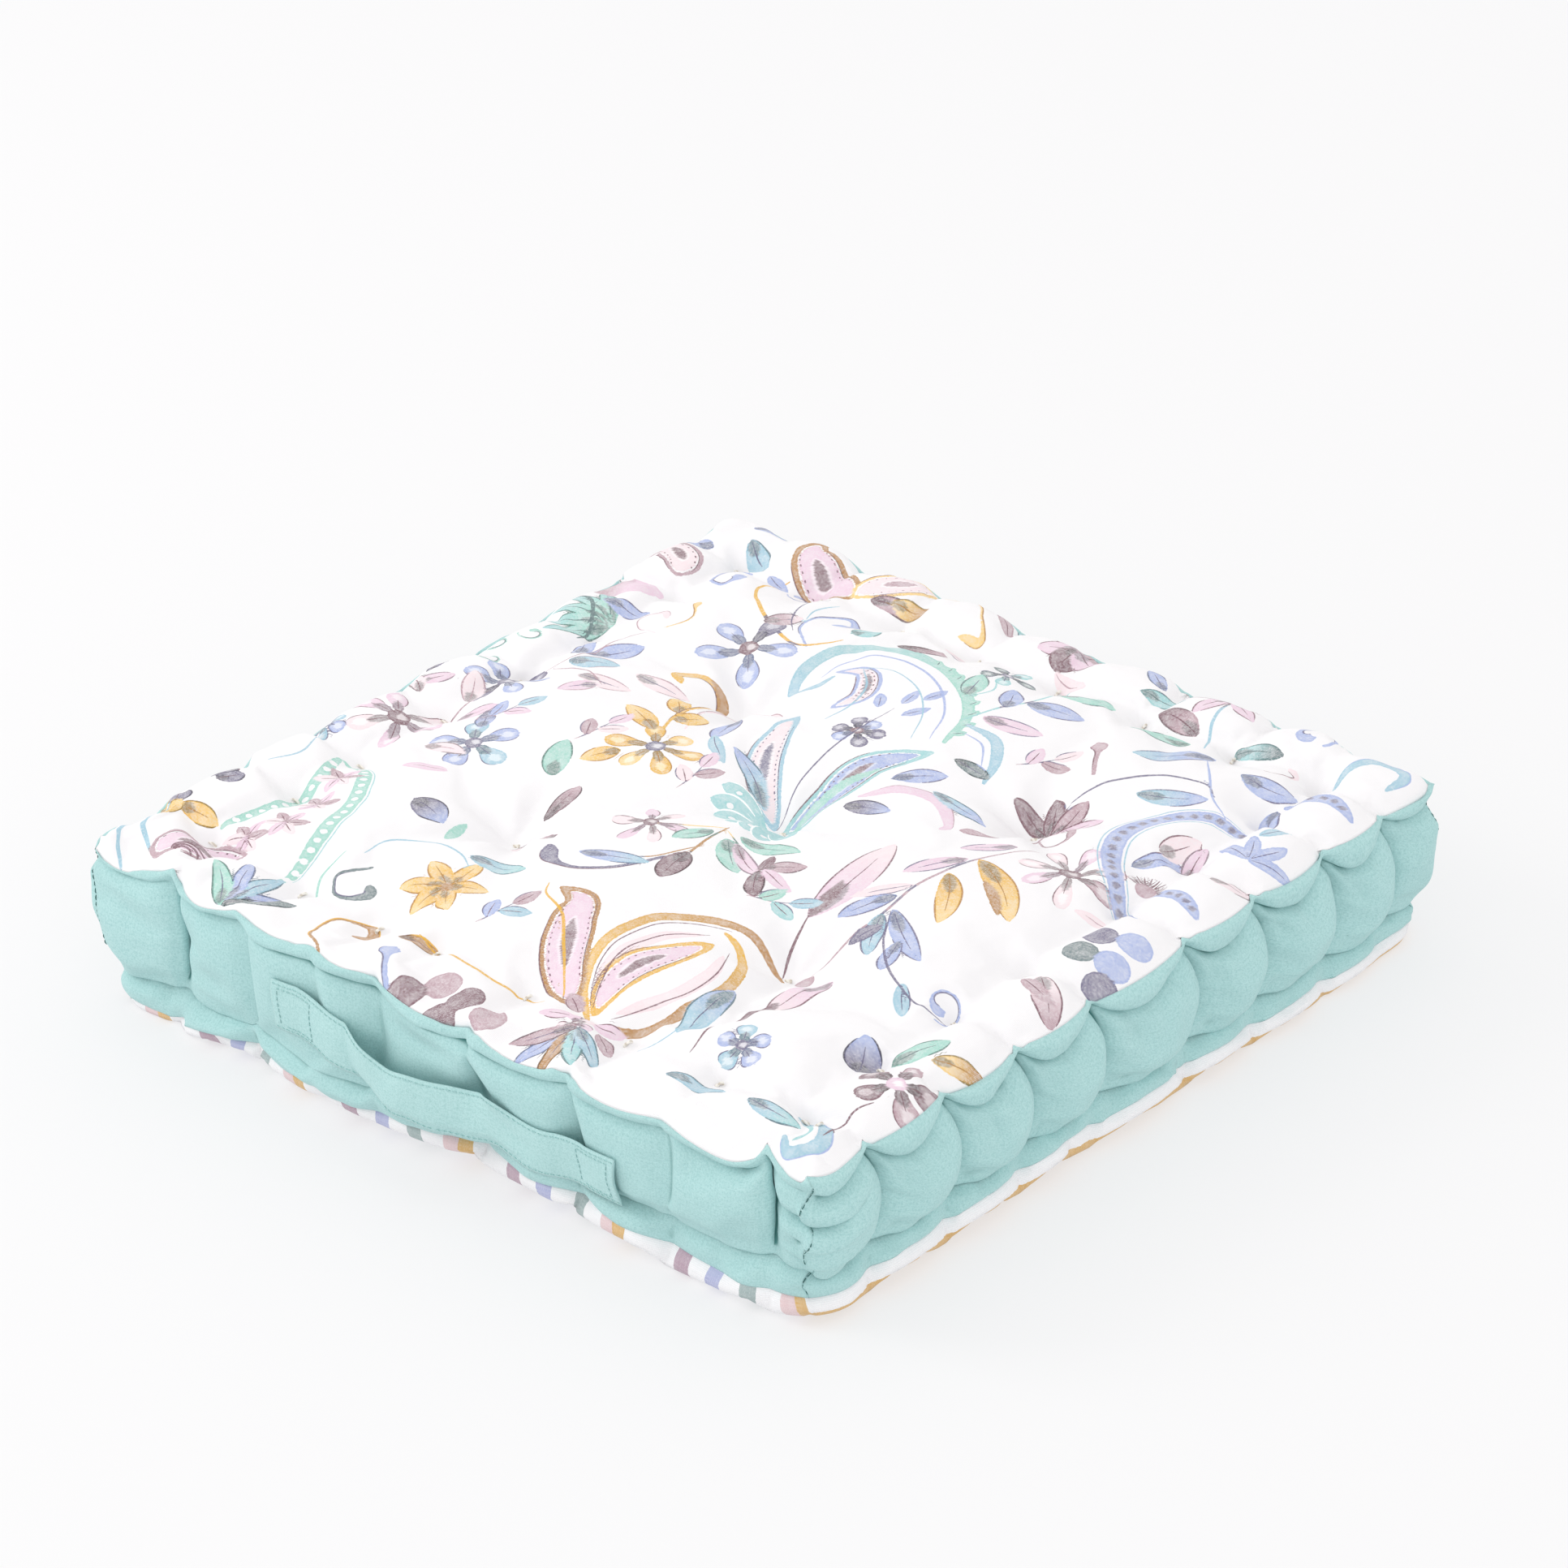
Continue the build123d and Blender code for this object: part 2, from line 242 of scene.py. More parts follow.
class Cover:
    """The closed cover: its points, which of them the stitches hold, and where its cloth is slack."""

    def __init__(self):
        line = np.linspace(-HALF, HALF, CELLS + 1)
        gx, gy = np.meshgrid(line, line, indexing="ij")
        self.top, self.bottom, self.wall = box_ids(CELLS, ROWS)
        total = self.wall.max() + 1
        self.points = np.zeros((total, 3))
        self.held = np.zeros(total)
        self.slack = np.zeros(total)
        self.place_faces(gx, gy)
        self.place_walls()

    def place_faces(self, gx, gy):
        """The upper and lower faces, sunk where they are stitched and tied."""
        inset = HALF - np.maximum(np.abs(gx), np.abs(gy))
        rim = Rim(rim_place(gx, gy))
        near_rim = np.clip(1 - inset / 28, 0, 1)
        across = np.clip(1 - np.abs(inset - ROLL / 2) / (ROLL / 2 + 6), 0, 1)
        for ids, profile, radius, (depth, reach), sink in (
            (self.top, TOP_PROFILE, TOP_CORNER, TUFT_TOP, -1),
            (self.bottom, BOTTOM_PROFILE, BOTTOM_CORNER, TUFT_BOTTOM, 1),
        ):
            x, y = round_corners(gx, gy, radius)
            normal = outward(x, y, radius)
            stand = ((-4 + 6 * rim.arch) if sink < 0 else (-3 + 2 * rim.arch)) * near_rim
            x, y = x + normal[..., 0] * stand, y + normal[..., 1] * stand
            z = np.interp(inset, *profile)
            if sink < 0:
                z += (rim.top - 90 + rim.rise * rim.scallop) * near_rim
                z += (rim.arch - 2.2 * rim.pull * bell(rim.gap, 8)) * np.sqrt(across)
            else:
                z += (rim.bottom - 12) * near_rim
                full = np.clip((rim.bottom - 2) / 8, 0, 1)
                under = 8 * full * bell(inset - 6.5, 5) * (inset > 0)
                x, y = x + normal[..., 0] * under, y + normal[..., 1] * under
            held = np.zeros_like(z)
            for tie in TIES:
                away = np.hypot(gx - tie[0], gy - tie[1])
                angle = np.arctan2(gy - tie[1], gx - tie[0])
                creased = 1 + 0.22 * np.cos(5 * angle + tie[0]) * np.clip(away / 12, 0, 1)
                z += sink * depth * bell(away, reach * creased)
                held[away < TIE_HOLDS] = 1
            for side in range(4):
                for along in STITCHES[side]:
                    spot = ALONG[side] * along + OUTWARD[side] * (HALF - ROLL)
                    away = np.hypot(gx - spot[0], gy - spot[1])
                    z += sink * DIMPLE_DEPTH * bell(away, DIMPLE_REACH)
                    held[away < STITCH_HOLDS] = 1
            self.points[ids.ravel()] = np.stack([x, y, z], -1).reshape(-1, 3)
            self.held[ids.ravel()] = held.ravel()
            self.slack[ids.ravel()] = np.where(inset < 50, 0.35, 0.1).ravel()

    def place_walls(self):
        """The sides, gathered into puffs between grooves that join the stitches of both rolls."""
        place = np.arange(4 * CELLS) * EDGE / CELLS
        rim = Rim(place)
        keys = (0, LIP_ROW / 2, LIP_ROW, LIP_ROW + 3, 11, 16, CREASE_ROW, 23, ROWS)
        arch = rim.arch
        lip_z = rim.top - 4 - rim.lip * arch
        low_z = rim.bottom + 17 - 4 * arch + 3 * (rim.side == 0)
        top_z = rim.top + rim.rise * rim.scallop
        heights = (
            top_z, (top_z + lip_z) / 2 + 1, lip_z, lip_z * 0.8 + low_z * 0.2, (lip_z + low_z) / 2,
            lip_z * 0.2 + low_z * 0.8, low_z, (low_z + rim.bottom) / 2, rim.bottom + 0 * arch,
        )
        gathered = (rim.gap < 2.1) & (rim.pull > 0.4)
        pinch = bell(rim.gap, 5)
        self.slack[self.wall[1:-1]] = 1
        for row in range(ROWS + 1):
            ids = self.wall[row]
            down = np.clip((row - LIP_ROW) / (CREASE_ROW - LIP_ROW), 0, 1)
            pull = rim.pull * (1 - down) ** 1.5 + rim.pull_low * (1 - (1 - down) ** 1.5)
            bulge = 1 - pull * (1 - rim.bulge)
            puffed = bulge**0.6 * rim.full
            calm = 1 - 0.8 * rim.behind_strap
            stands = (
                -4 + 6 * arch, 8 * arch * rim.full, -5 + 5 * arch,
                -4 + 11 * puffed * calm, -4 + 13 * puffed * calm, -5 + 12 * puffed * calm,
                -7 + 4 * bulge, -3 + 4 * bulge, -3 + 2 * arch,
            )
            bow = np.sin(np.pi * down)
            moved = place + rim.lean * bow
            side = rim.side
            along = moved - side * EDGE - HALF
            square = ALONG[side] * along[:, None] + OUTWARD[side] * HALF
            radius = TOP_CORNER + (BOTTOM_CORNER - TOP_CORNER) * row / ROWS
            x, y = round_corners(square[:, 0], square[:, 1], radius)
            normal = outward(x, y, radius)
            zigzag = 2.6 * np.sin(row * 0.75) * bell(rim.corner, 14) * (0 < row < ROWS)
            x, y = x - normal[:, 1] * zigzag, y + normal[:, 0] * zigzag
            out = np.array([np.interp(row, keys, column) for column in np.transpose(stands)])
            z = np.array([np.interp(row, keys, column) for column in np.transpose(heights)])
            out -= 2 * pinch * pull * (LIP_ROW < row < CREASE_ROW)
            for tuck_row, deep in ((9, 7), (15, 4)):
                out -= deep * bell(rim.front_corner, 18) * bell(row - tuck_row, 1.3)
            self.points[ids] = np.stack([x + normal[:, 0] * out, y + normal[:, 1] * out, z], -1)
            if row == CREASE_ROW:
                self.held[ids] = rim.behind_strap < 0.5
            elif row == LIP_ROW:
                self.held[ids] = np.where(rim.lip > 8, 1, gathered)
            elif row == 0:
                self.held[ids[gathered]] = 1
            elif row > LIP_ROW:
                self.held[ids[gathered & (pull > 0.4)]] = 1
            if row == TUCK_ROW:
                self.held[ids[rim.front_corner < 12]] = 1

    def faces(self):
        """Its quads, panel by panel, all facing outwards."""
        ring = closed(self.wall)
        sides = [quads(ring[:, side * CELLS : side * CELLS + CELLS + 1]) for side in range(4)]
        return np.vstack([quads(self.top), quads(self.bottom, True)] + sides)


def simulate(cover):
    """Stuffs the cover: cloth with slack in it, blown up against its stitches and ties."""
    obj = new_mesh("cover_sim", cover.points, cover.faces().tolist(), False)
    for name, weights in (("held", cover.held), ("taut", 1 - cover.slack)):
        group = obj.vertex_groups.new(name=name)
        for value in np.unique(weights):
            if value > 0:
                group.add(np.flatnonzero(weights == value).tolist(), float(value), "REPLACE")
    cloth = obj.modifiers.new("Cloth", "CLOTH")
    s = cloth.settings
    s.quality = 6
    s.mass = 0.2
    s.tension_stiffness = s.compression_stiffness = 25
    s.shear_stiffness = 8
    s.bending_stiffness = 4
    s.air_damping = 4
    s.vertex_group_mass = "held"
    s.pin_stiffness = 1
    s.use_pressure = True
    s.uniform_pressure_force = 5
    s.vertex_group_shrink = "taut"
    s.shrink_min, s.shrink_max = -0.10, -0.02
    s.effector_weights.gravity = 0
    cloth.collision_settings.use_collision = False
    scene = bpy.context.scene
    scene.frame_start, scene.frame_end = 1, SIM_FRAMES
    cloth.point_cache.frame_start, cloth.point_cache.frame_end = 1, SIM_FRAMES
    for step in range(1, SIM_FRAMES + 1):
        scene.frame_set(step)
    swollen = bpy.data.meshes.new_from_object(obj.evaluated_get(bpy.context.evaluated_depsgraph_get()))
    co = np.empty(len(swollen.vertices) * 3)
    swollen.vertices.foreach_get("co", co)
    bpy.data.meshes.remove(swollen)
    bpy.data.objects.remove(obj)
    return co.reshape(-1, 3) / MM - (0, CENTRE_Y, 0)


def smoothed(grid, ring):
    """Each point moved halfway to the middle of its neighbours; a ring's rows close on themselves."""
    ahead, behind = (np.roll(grid, -1, 1), np.roll(grid, 1, 1)) if ring else (grid[:, 1:], grid[:, :-1])
    if not ring:
        ahead = np.concatenate([ahead, grid[:, -1:]], 1)
        behind = np.concatenate([grid[:, :1], behind], 1)
    over = np.concatenate([grid[:1], grid[:-1]])
    under = np.concatenate([grid[1:], grid[-1:]])
    return (grid + (ahead + behind + over + under) / 4) / 2


def settle(cover):
    """Irons out the smallest wrinkles, lowers the highest places and rests the cover on the floor."""
    for ids, ring in ((cover.wall, True), (cover.top, False)):
        free = 1 - cover.held[ids][..., None] * 0.8
        free[0] = free[-1] = 0
        if not ring:
            free[:, 0] = free[:, -1] = 0
        grid = cover.points[ids]
        cover.points[ids] = grid + (smoothed(grid, ring) - grid) * free
    z = cover.points[:, 2]
    z = np.where(z > CREST, CREST + (z - CREST) * 0.5, z)
    cover.points[:, 2] = np.maximum(z, 0.3)


cover = Cover()
cover.points = simulate(cover)
settle(cover)

# ---------------------------------------------------------------- the print
FINE = 4             # quads of the finished cloth to each simulated one
PERIWINKLE, SKY, SLATE = (0.64, 0.70, 0.87), (0.61, 0.77, 0.84), (0.45, 0.43, 0.54)
PLUM, MAUVE, PINK, BLUSH = (0.50, 0.37, 0.41), (0.72, 0.60, 0.64), (0.90, 0.79, 0.86), (0.94, 0.87, 0.89)
MUSTARD, OCHRE, HONEY = (0.89, 0.70, 0.26), (0.70, 0.51, 0.27), (0.94, 0.80, 0.50)
MINT, AQUA, GREY_GREEN = (0.61, 0.82, 0.77), (0.61, 0.81, 0.82), (0.43, 0.50, 0.51)
WHITE = (1.0, 1.0, 1.0)
SAMPLE = 0.7         # mm between points along a drawn line
LEAF_SPREAD = 1.12   # how much wider a leaf is drawn than its entry says
BROAD_LEAF = 8.5     # a leaf wider than this has a dark patch and a broken outline
DASH_EVERY, DASH_LONG = 4.2, 1.8
FAR = 6.0            # mm outside every shape, as the distance where nothing is printed


def through(*points):
    """A smooth line through a few points, as close points along it."""
    points = np.array(points, float)
    if len(points) == 2:
        points = np.array([points[0], points.mean(0), points[1]])
    ends = np.vstack([2 * points[0] - points[1], points, 2 * points[-1] - points[-2]])
    runs = []
    for a, b, c, d in zip(ends, ends[1:], ends[2:], ends[3:]):
        t = np.linspace(0, 1, max(3, int(np.linalg.norm(c - b) / SAMPLE)), endpoint=False)[:, None]
        runs.append(catmull_rom(a, b, c, d, t))
    return np.vstack(runs + [points[-1:]])


def arc(x, y, angle, length, bend=0.0):
    """A line from a point in a direction, turning by bend degrees on its way."""
    count = max(6, int(length / SAMPLE))
    turn = np.radians(angle - bend / 2 + bend * (np.arange(count) + 0.5) / count)
    steps = np.stack([np.cos(turn), np.sin(turn)], 1) * length / count
    return np.vstack([[x, y], (x, y) + np.cumsum(steps, 0)])


def curl(x, y, radius, start, turns):
    """A spiral that winds in round a centre; negative turns wind clockwise."""
    count = max(12, int(radius * abs(turns) * 4))
    share = np.linspace(0, 1, count)
    turn = np.radians(start + 360 * turns * share)
    size = radius * (1 - 0.72 * share)
    return np.stack([x + size * np.cos(turn), y + size * np.sin(turn)], 1)


def leftward(path):
    """The direction to the left of a flat line, at each of its points."""
    heading = unit(np.gradient(path, axis=0))
    return np.stack([-heading[:, 1], heading[:, 0]], 1)


def leafy(share):
    """A shape's half width along it: pointed at both ends, widest before its middle."""
    return (4 * share**0.9 * (1 - share)) ** 0.75


def petal(share):
    """A shape's half width along it: narrow at its foot and round at its end."""
    return np.sqrt(np.clip(np.sin(np.pi * share**1.5), 0, 1)) * (0.35 + 0.65 * share**0.5)


def bulb(share):
    """A shape's half width along it: a thin stalk that swells to a round end."""
    return 0.22 + 0.78 * bell(share - 0.9, 0.16) * np.sqrt(np.clip(1 - share**12, 0, 1))


def tapered(share):
    """A shape's half width along it: even, with rounded ends."""
    return np.sqrt(np.clip(np.sin(np.pi * np.clip(share * 0.96 + 0.02, 0, 1)), 0, 1))


def even(share):
    """A shape's half width along it: the same width all along."""
    return np.ones_like(share)


def deeper(ink, share=0.66):
    """A darker tone of an ink."""
    return tuple(np.array(ink) * share)


def paler(ink, share=0.55):
    """A tone of an ink nearer to white."""
    return tuple(1 - (1 - np.array(ink)) * (1 - share))


class Print:
    """The printed pattern, held on the flat top panel as distances to the edges of its shapes."""

    def __init__(self, line):
        self.line = line
        flat = (len(line), len(line))
        self.edge = np.full(flat, FAR)
        self.ink = np.ones(flat + (3,))
        self.strokes = [np.zeros(flat + (2,)) - (0, 9) for _ in range(2)]
        self.stroke_ink = np.full(flat + (3,), PLUM)
        self.random = np.random.default_rng(7)

    def around(self, path, reach):
        """The part of the panel round a path, and where its points lie against the path."""
        low, high = path.min(0) - reach, path.max(0) + reach
        i0, i1 = np.searchsorted(self.line, (low[0], high[0]))
        j0, j1 = np.searchsorted(self.line, (low[1], high[1]))
        if i1 <= i0 or j1 <= j0:
            return None
        x, y = np.meshgrid(self.line[i0:i1], self.line[j0:j1], indexing="ij")
        away = (x[..., None] - path[:, 0]) ** 2 + (y[..., None] - path[:, 1]) ** 2
        near = away.argmin(-1)
        heading = unit(np.gradient(path, axis=0))
        dx, dy = x - path[near, 0], y - path[near, 1]
        left = heading[near, 0] * dy - heading[near, 1] * dx
        ahead = heading[near, 0] * dx + heading[near, 1] * dy
        beyond = np.where(near == 0, -ahead, np.where(near == len(path) - 1, ahead, 0)).clip(0)
        return (slice(i0, i1), slice(j0, j1)), near, left, beyond

    def shape(self, path, half, form, ink, tip=None):
        """Paints a shape with a line down its middle, its half width given by form along it."""
        found = self.around(path, half + 5)
        if not found:
            return
        block, near, left, beyond = found
        share = np.linspace(0, 1, len(path))
        width = half * form(share)
        slope = np.gradient(width, SAMPLE)
        lateral = np.abs(left)
        edge = (np.hypot(lateral, beyond) - width[near]) / np.sqrt(1 + np.minimum(slope[near], 2) ** 2)
        colour = np.empty(edge.shape + (3,))
        colour[:] = ink
        if tip is not None:
            blend = np.clip((share[near] - 0.35) / 0.5, 0, 1)[..., None]
            colour = colour * (1 - blend) + np.array(tip) * blend
        old = self.edge[block]
        if ink is WHITE:
            self.edge[block] = np.maximum(old, -edge)
            return
        takes = (edge < 0.4) | (edge < old)
        self.ink[block][takes] = colour[takes]
        self.edge[block] = np.minimum(old, edge)
        for strokes in self.strokes:
            strokes[block][edge < -0.6] = (0, -9)

    def stroke(self, path, half=0.5, ink=PLUM, form=tapered, layer=0):
        """Draws a thin line, kept as the distance to its left so that it stays crisp."""
        found = self.around(path, half + 3)
        if not found:
            return
        block, near, left, beyond = found
        width = (half * form(np.linspace(0, 1, len(path))))[near]
        width = np.where(beyond > 0.3, -2.0, width)
        kept = self.strokes[layer][block]
        takes = (np.abs(left) - width < np.abs(kept[..., 0]) - kept[..., 1]) & (np.abs(left) < half + 2)
        kept[takes] = np.stack([left, width], -1)[takes]
        self.stroke_ink[block][takes] = ink

    def outline(self, path, half, form, ink, first=0.1, last=0.9, sides=(1, -1), weight=0.4):
        """Draws part of a shape's edge."""
        normal = leftward(path)
        width = half * form(np.linspace(0, 1, len(path)))
        a, b = int(first * len(path)), max(int(last * len(path)), int(first * len(path)) + 4)
        for side in sides:
            self.stroke((path + side * normal * width[:, None])[a:b], weight, ink, layer=1)

    def leaf(self, x, y, angle, length, width, ink, bend=20, tip=None, rib=SLATE, edge=None):
        """A pointed leaf from its stalk, darker at its tip or foot, with a vein and a broken outline."""
        path = arc(x, y, angle, length, bend)
        n = len(path)
        width *= LEAF_SPREAD
        self.shape(path, width / 2, leafy, ink, tip)
        if width > BROAD_LEAF:
            first, last = (0.52, 0.97) if int(x + y) % 2 else (0.04, 0.42)
            self.shape(path[int(n * first) : int(n * last)], width * 0.24, leafy, deeper(ink))
            for first, last, side in ((0.05, 0.92, 1), (0.5, 0.98, -1)):
                self.outline(path, width / 2, leafy, edge or deeper(ink, 0.62), first, last, (side,), 0.5)
        elif edge is not None:
            self.outline(path, width / 2, leafy, edge, 0.1, 0.85, (1,))
        if rib is not None:
            self.stroke(path[int(n * 0.06) : int(n * 0.78)], 0.32, rib)

    def leaves(self, *rows, **looks):
        """Several leaves with the same rib and edge."""
        for row in rows:
            self.leaf(*row, **looks)

    def flower(self, x, y, size, petals, ink, centre=SLATE, width=1.05, turn=0.0, vein=SLATE):
        """A round flower: each petal dark at its foot, pale within and outlined."""
        for i in range(petals):
            angle = turn + 360 * i / petals + self.random.uniform(-8, 8)
            long = size * self.random.uniform(0.85, 1.12)
            outwards = np.array([np.cos(np.radians(angle)), np.sin(np.radians(angle))])
            start = np.array([x, y]) + 0.16 * size * outwards
            path = arc(*start, angle, long * 0.84, self.random.uniform(-12, 12))
            half = 1.25 * width * np.pi * size / petals / 2
            n, tone = len(path), ink[i % len(ink)]
            self.shape(path, half, petal, tone)
            self.shape(path[: int(n * 0.5)], half * 0.42, leafy, deeper(tone))
            if half > 4.5:
                self.shape(path[int(n * 0.55) : int(n * 0.88)], half * 0.34, leafy, paler(tone))
            self.stroke(path[2 : int(n * 0.6)], 0.3, vein)
            sides = (1, -1) if i % 3 == 0 else (1 if i % 2 else -1,)
            self.outline(path, half, petal, vein, 0.3, 0.97, sides, 0.35)
        self.disc(x, y, 0.19 * size, centre)
        self.disc(x + 0.03 * size, y + 0.03 * size, 0.07 * size, paler(centre, 0.7))

    def sprig(self, x, y, turn, inks):
        """A short stalk with a leaf on each side and one at its end."""
        stalk = arc(x, y, turn, 24, 20)
        self.stroke(stalk, 0.5, MAUVE)
        for share, aside, ink in zip((0.3, 0.6, 0.95), (42, -42, 6), inks):
            self.leaf(*stalk[int(share * len(stalk))], turn + aside, 17, 7.5, ink, 14, rib=PLUM, edge=SLATE)

    def disc(self, x, y, radius, ink):
        """A round spot."""
        self.shape(arc(x - 0.2, y, 0, 0.4), radius, even, ink)

    def scroll(self, path, half, ink, form=bulb, rim=None):
        """A curling stroke that swells to a round end."""
        self.shape(path, half, form, ink)
        if rim is not None:
            self.outline(path, half, form, rim, 0.15, 0.95, (1,))

    def band(self, path, half, ink, dot, every=6.5, size=0.42):
        """A band with a row of round spots along it."""
        self.shape(path, half, tapered, ink)
        steps = np.concatenate([[0], np.cumsum(np.hypot(*np.diff(path, axis=0).T))])
        for at in np.arange(every, steps[-1] - every * 0.8, every):
            point = path[np.searchsorted(steps, at)]
            self.disc(*point, half * size, dot)

    def drop(self, path, half, edge_ink, fill, core, rim=2.0):
        """A curled drop with a coloured edge, a pale inside and a dark core."""
        self.shape(path, half, leafy, edge_ink)
        inner = path[int(len(path) * 0.05) : int(len(path) * 0.93)]
        self.shape(inner, half - rim, leafy, WHITE)
        self.shape(inner[2:-2], half - rim - 1.1, leafy, fill)
        middle = path[int(len(path) * 0.3) : int(len(path) * 0.68)]
        self.shape(middle, half * 0.34, leafy, paler(fill, 0.5))
        self.shape(middle[2:-2], half * 0.22, leafy, core)
        self.outline(path, half, leafy, PLUM, 0.08, 0.7, (1,))
        self.outline(path, half - rim - 0.3, leafy, core, 0.15, 0.85, (-1,), 0.3)
        self.dashes(path, half - rim - 2.2, deeper(core, 0.9))

    def dashes(self, path, half, ink):
        """A row of short dashes inside a drop's edge, where there is room for one."""
        if half < 1.5:
            return
        for side in (1, -1):
            line = path + side * leftward(path) * (half * leafy(np.linspace(0, 1, len(path))))[:, None]
            step, size = int(DASH_EVERY / SAMPLE), max(3, int(DASH_LONG / SAMPLE))
            for at in range(int(len(line) * 0.2), int(len(line) * 0.8) - size, step):
                self.stroke(line[at : at + size], 0.38, ink, even)


def paint_middle(p):
    """The plumes, curls and flowers at the middle of the panel."""
    p.drop(through((8, -2), (-16, 18), (-34, 44), (-48, 82)), 10, SKY, BLUSH, SLATE)
    p.drop(through((12, 0), (20, 30), (20, 62), (40, 90)), 10, AQUA, PERIWINKLE, PLUM)
    p.flower(-6, 82, 15, 6, (SLATE, PERIWINKLE, SLATE), PLUM, turn=15)
    for angle, long in ((172, 36), (196, 33), (220, 28), (246, 24), (276, 22), (306, 24), (338, 30), (8, 28)):
        path = arc(8, -6, angle, long, 14)
        p.shape(path, 7.5, petal, AQUA)
        p.outline(path, 7.5, petal, WHITE, 0.3, 0.98, (1, -1), 0.6)
        p.disc(*path[int(len(path) * 0.68)], 1.7, WHITE)
    p.leaf(-4, 4, 150, 52, 9, SKY, 25, PERIWINKLE)
    p.leaf(16, 4, 80, 60, 5, MINT, -20, rib=None)
    for x, y, turn in ((-6, 118, 100), (2, 108, 65), (-14, 108, 125), (0, 128, 80)):
        p.leaf(x, y, turn, 17, 6, PERIWINKLE, 10)
    p.stroke(through((8, 0), (-2, 40), (-6, 70), (-6, 112)), 0.5, SLATE)
    curl_path = through((38, 100), (30, 128), (8, 152), (-22, 168), (-54, 169), (-78, 152), (-83, 126),
                        (-74, 106), (-62, 112), (-62, 126))
    p.shape(curl_path, 4.6, tapered, MINT, SKY)
    p.stroke(through((30, 98), (18, 124), (-4, 146), (-30, 158), (-56, 156), (-70, 140), (-70, 124)),
             0.8, PERIWINKLE)
    p.stroke(through((22, 92), (10, 116), (-10, 136), (-34, 146), (-50, 142)), 0.5, SKY, layer=1)
    for share in np.linspace(0.04, 0.42, 9):
        at = int(share * len(curl_path))
        ahead = curl_path[at + 3] - curl_path[at]
        p.leaf(*curl_path[at], np.degrees(np.arctan2(ahead[1], ahead[0])) - 48, 8, 4.5, MINT, rib=GREY_GREEN)
    p.drop(through((-38, 96), (-32, 116), (-46, 136), (-66, 132)), 7, PERIWINKLE, BLUSH, PLUM)
    p.stroke(through((-32, 84), (-30, 104), (-36, 124), (-52, 140)), 0.7, SKY)
    p.scroll(through((-84, 30), (-92, 52), (-88, 76), (-70, 86), (-60, 76), (-68, 68)), 2.6, BLUSH, rim=MAUVE)
    p.leaf(-70, 60, -82, 28, 11, PERIWINKLE, 14, edge=SLATE)
    p.leaf(-68, 36, -40, 36, 7, SKY, 22)
    p.scroll(through((37, 34), (50, 50), (72, 54), (92, 40), (93, 32)), 4.2, PINK, tapered, rim=MAUVE)
    p.leaf(40, 56, 48, 30, 10, PERIWINKLE, -15, edge=SLATE)
    p.leaves(
        (36, 22, 20, 26, 11, SLATE, -20, PERIWINKLE), (64, 62, -8, 40, 8, SKY, 25, PERIWINKLE),
    )
    p.shape(through((36, 122), (56, 120), (70, 104), (76, 88)), 3.4, tapered, SKY)
    p.leaf(52, 92, 0, 24, 8, GREY_GREEN, -14)
    p.stroke(through((40, 114), (54, 112), (66, 98)), 0.6, PERIWINKLE)


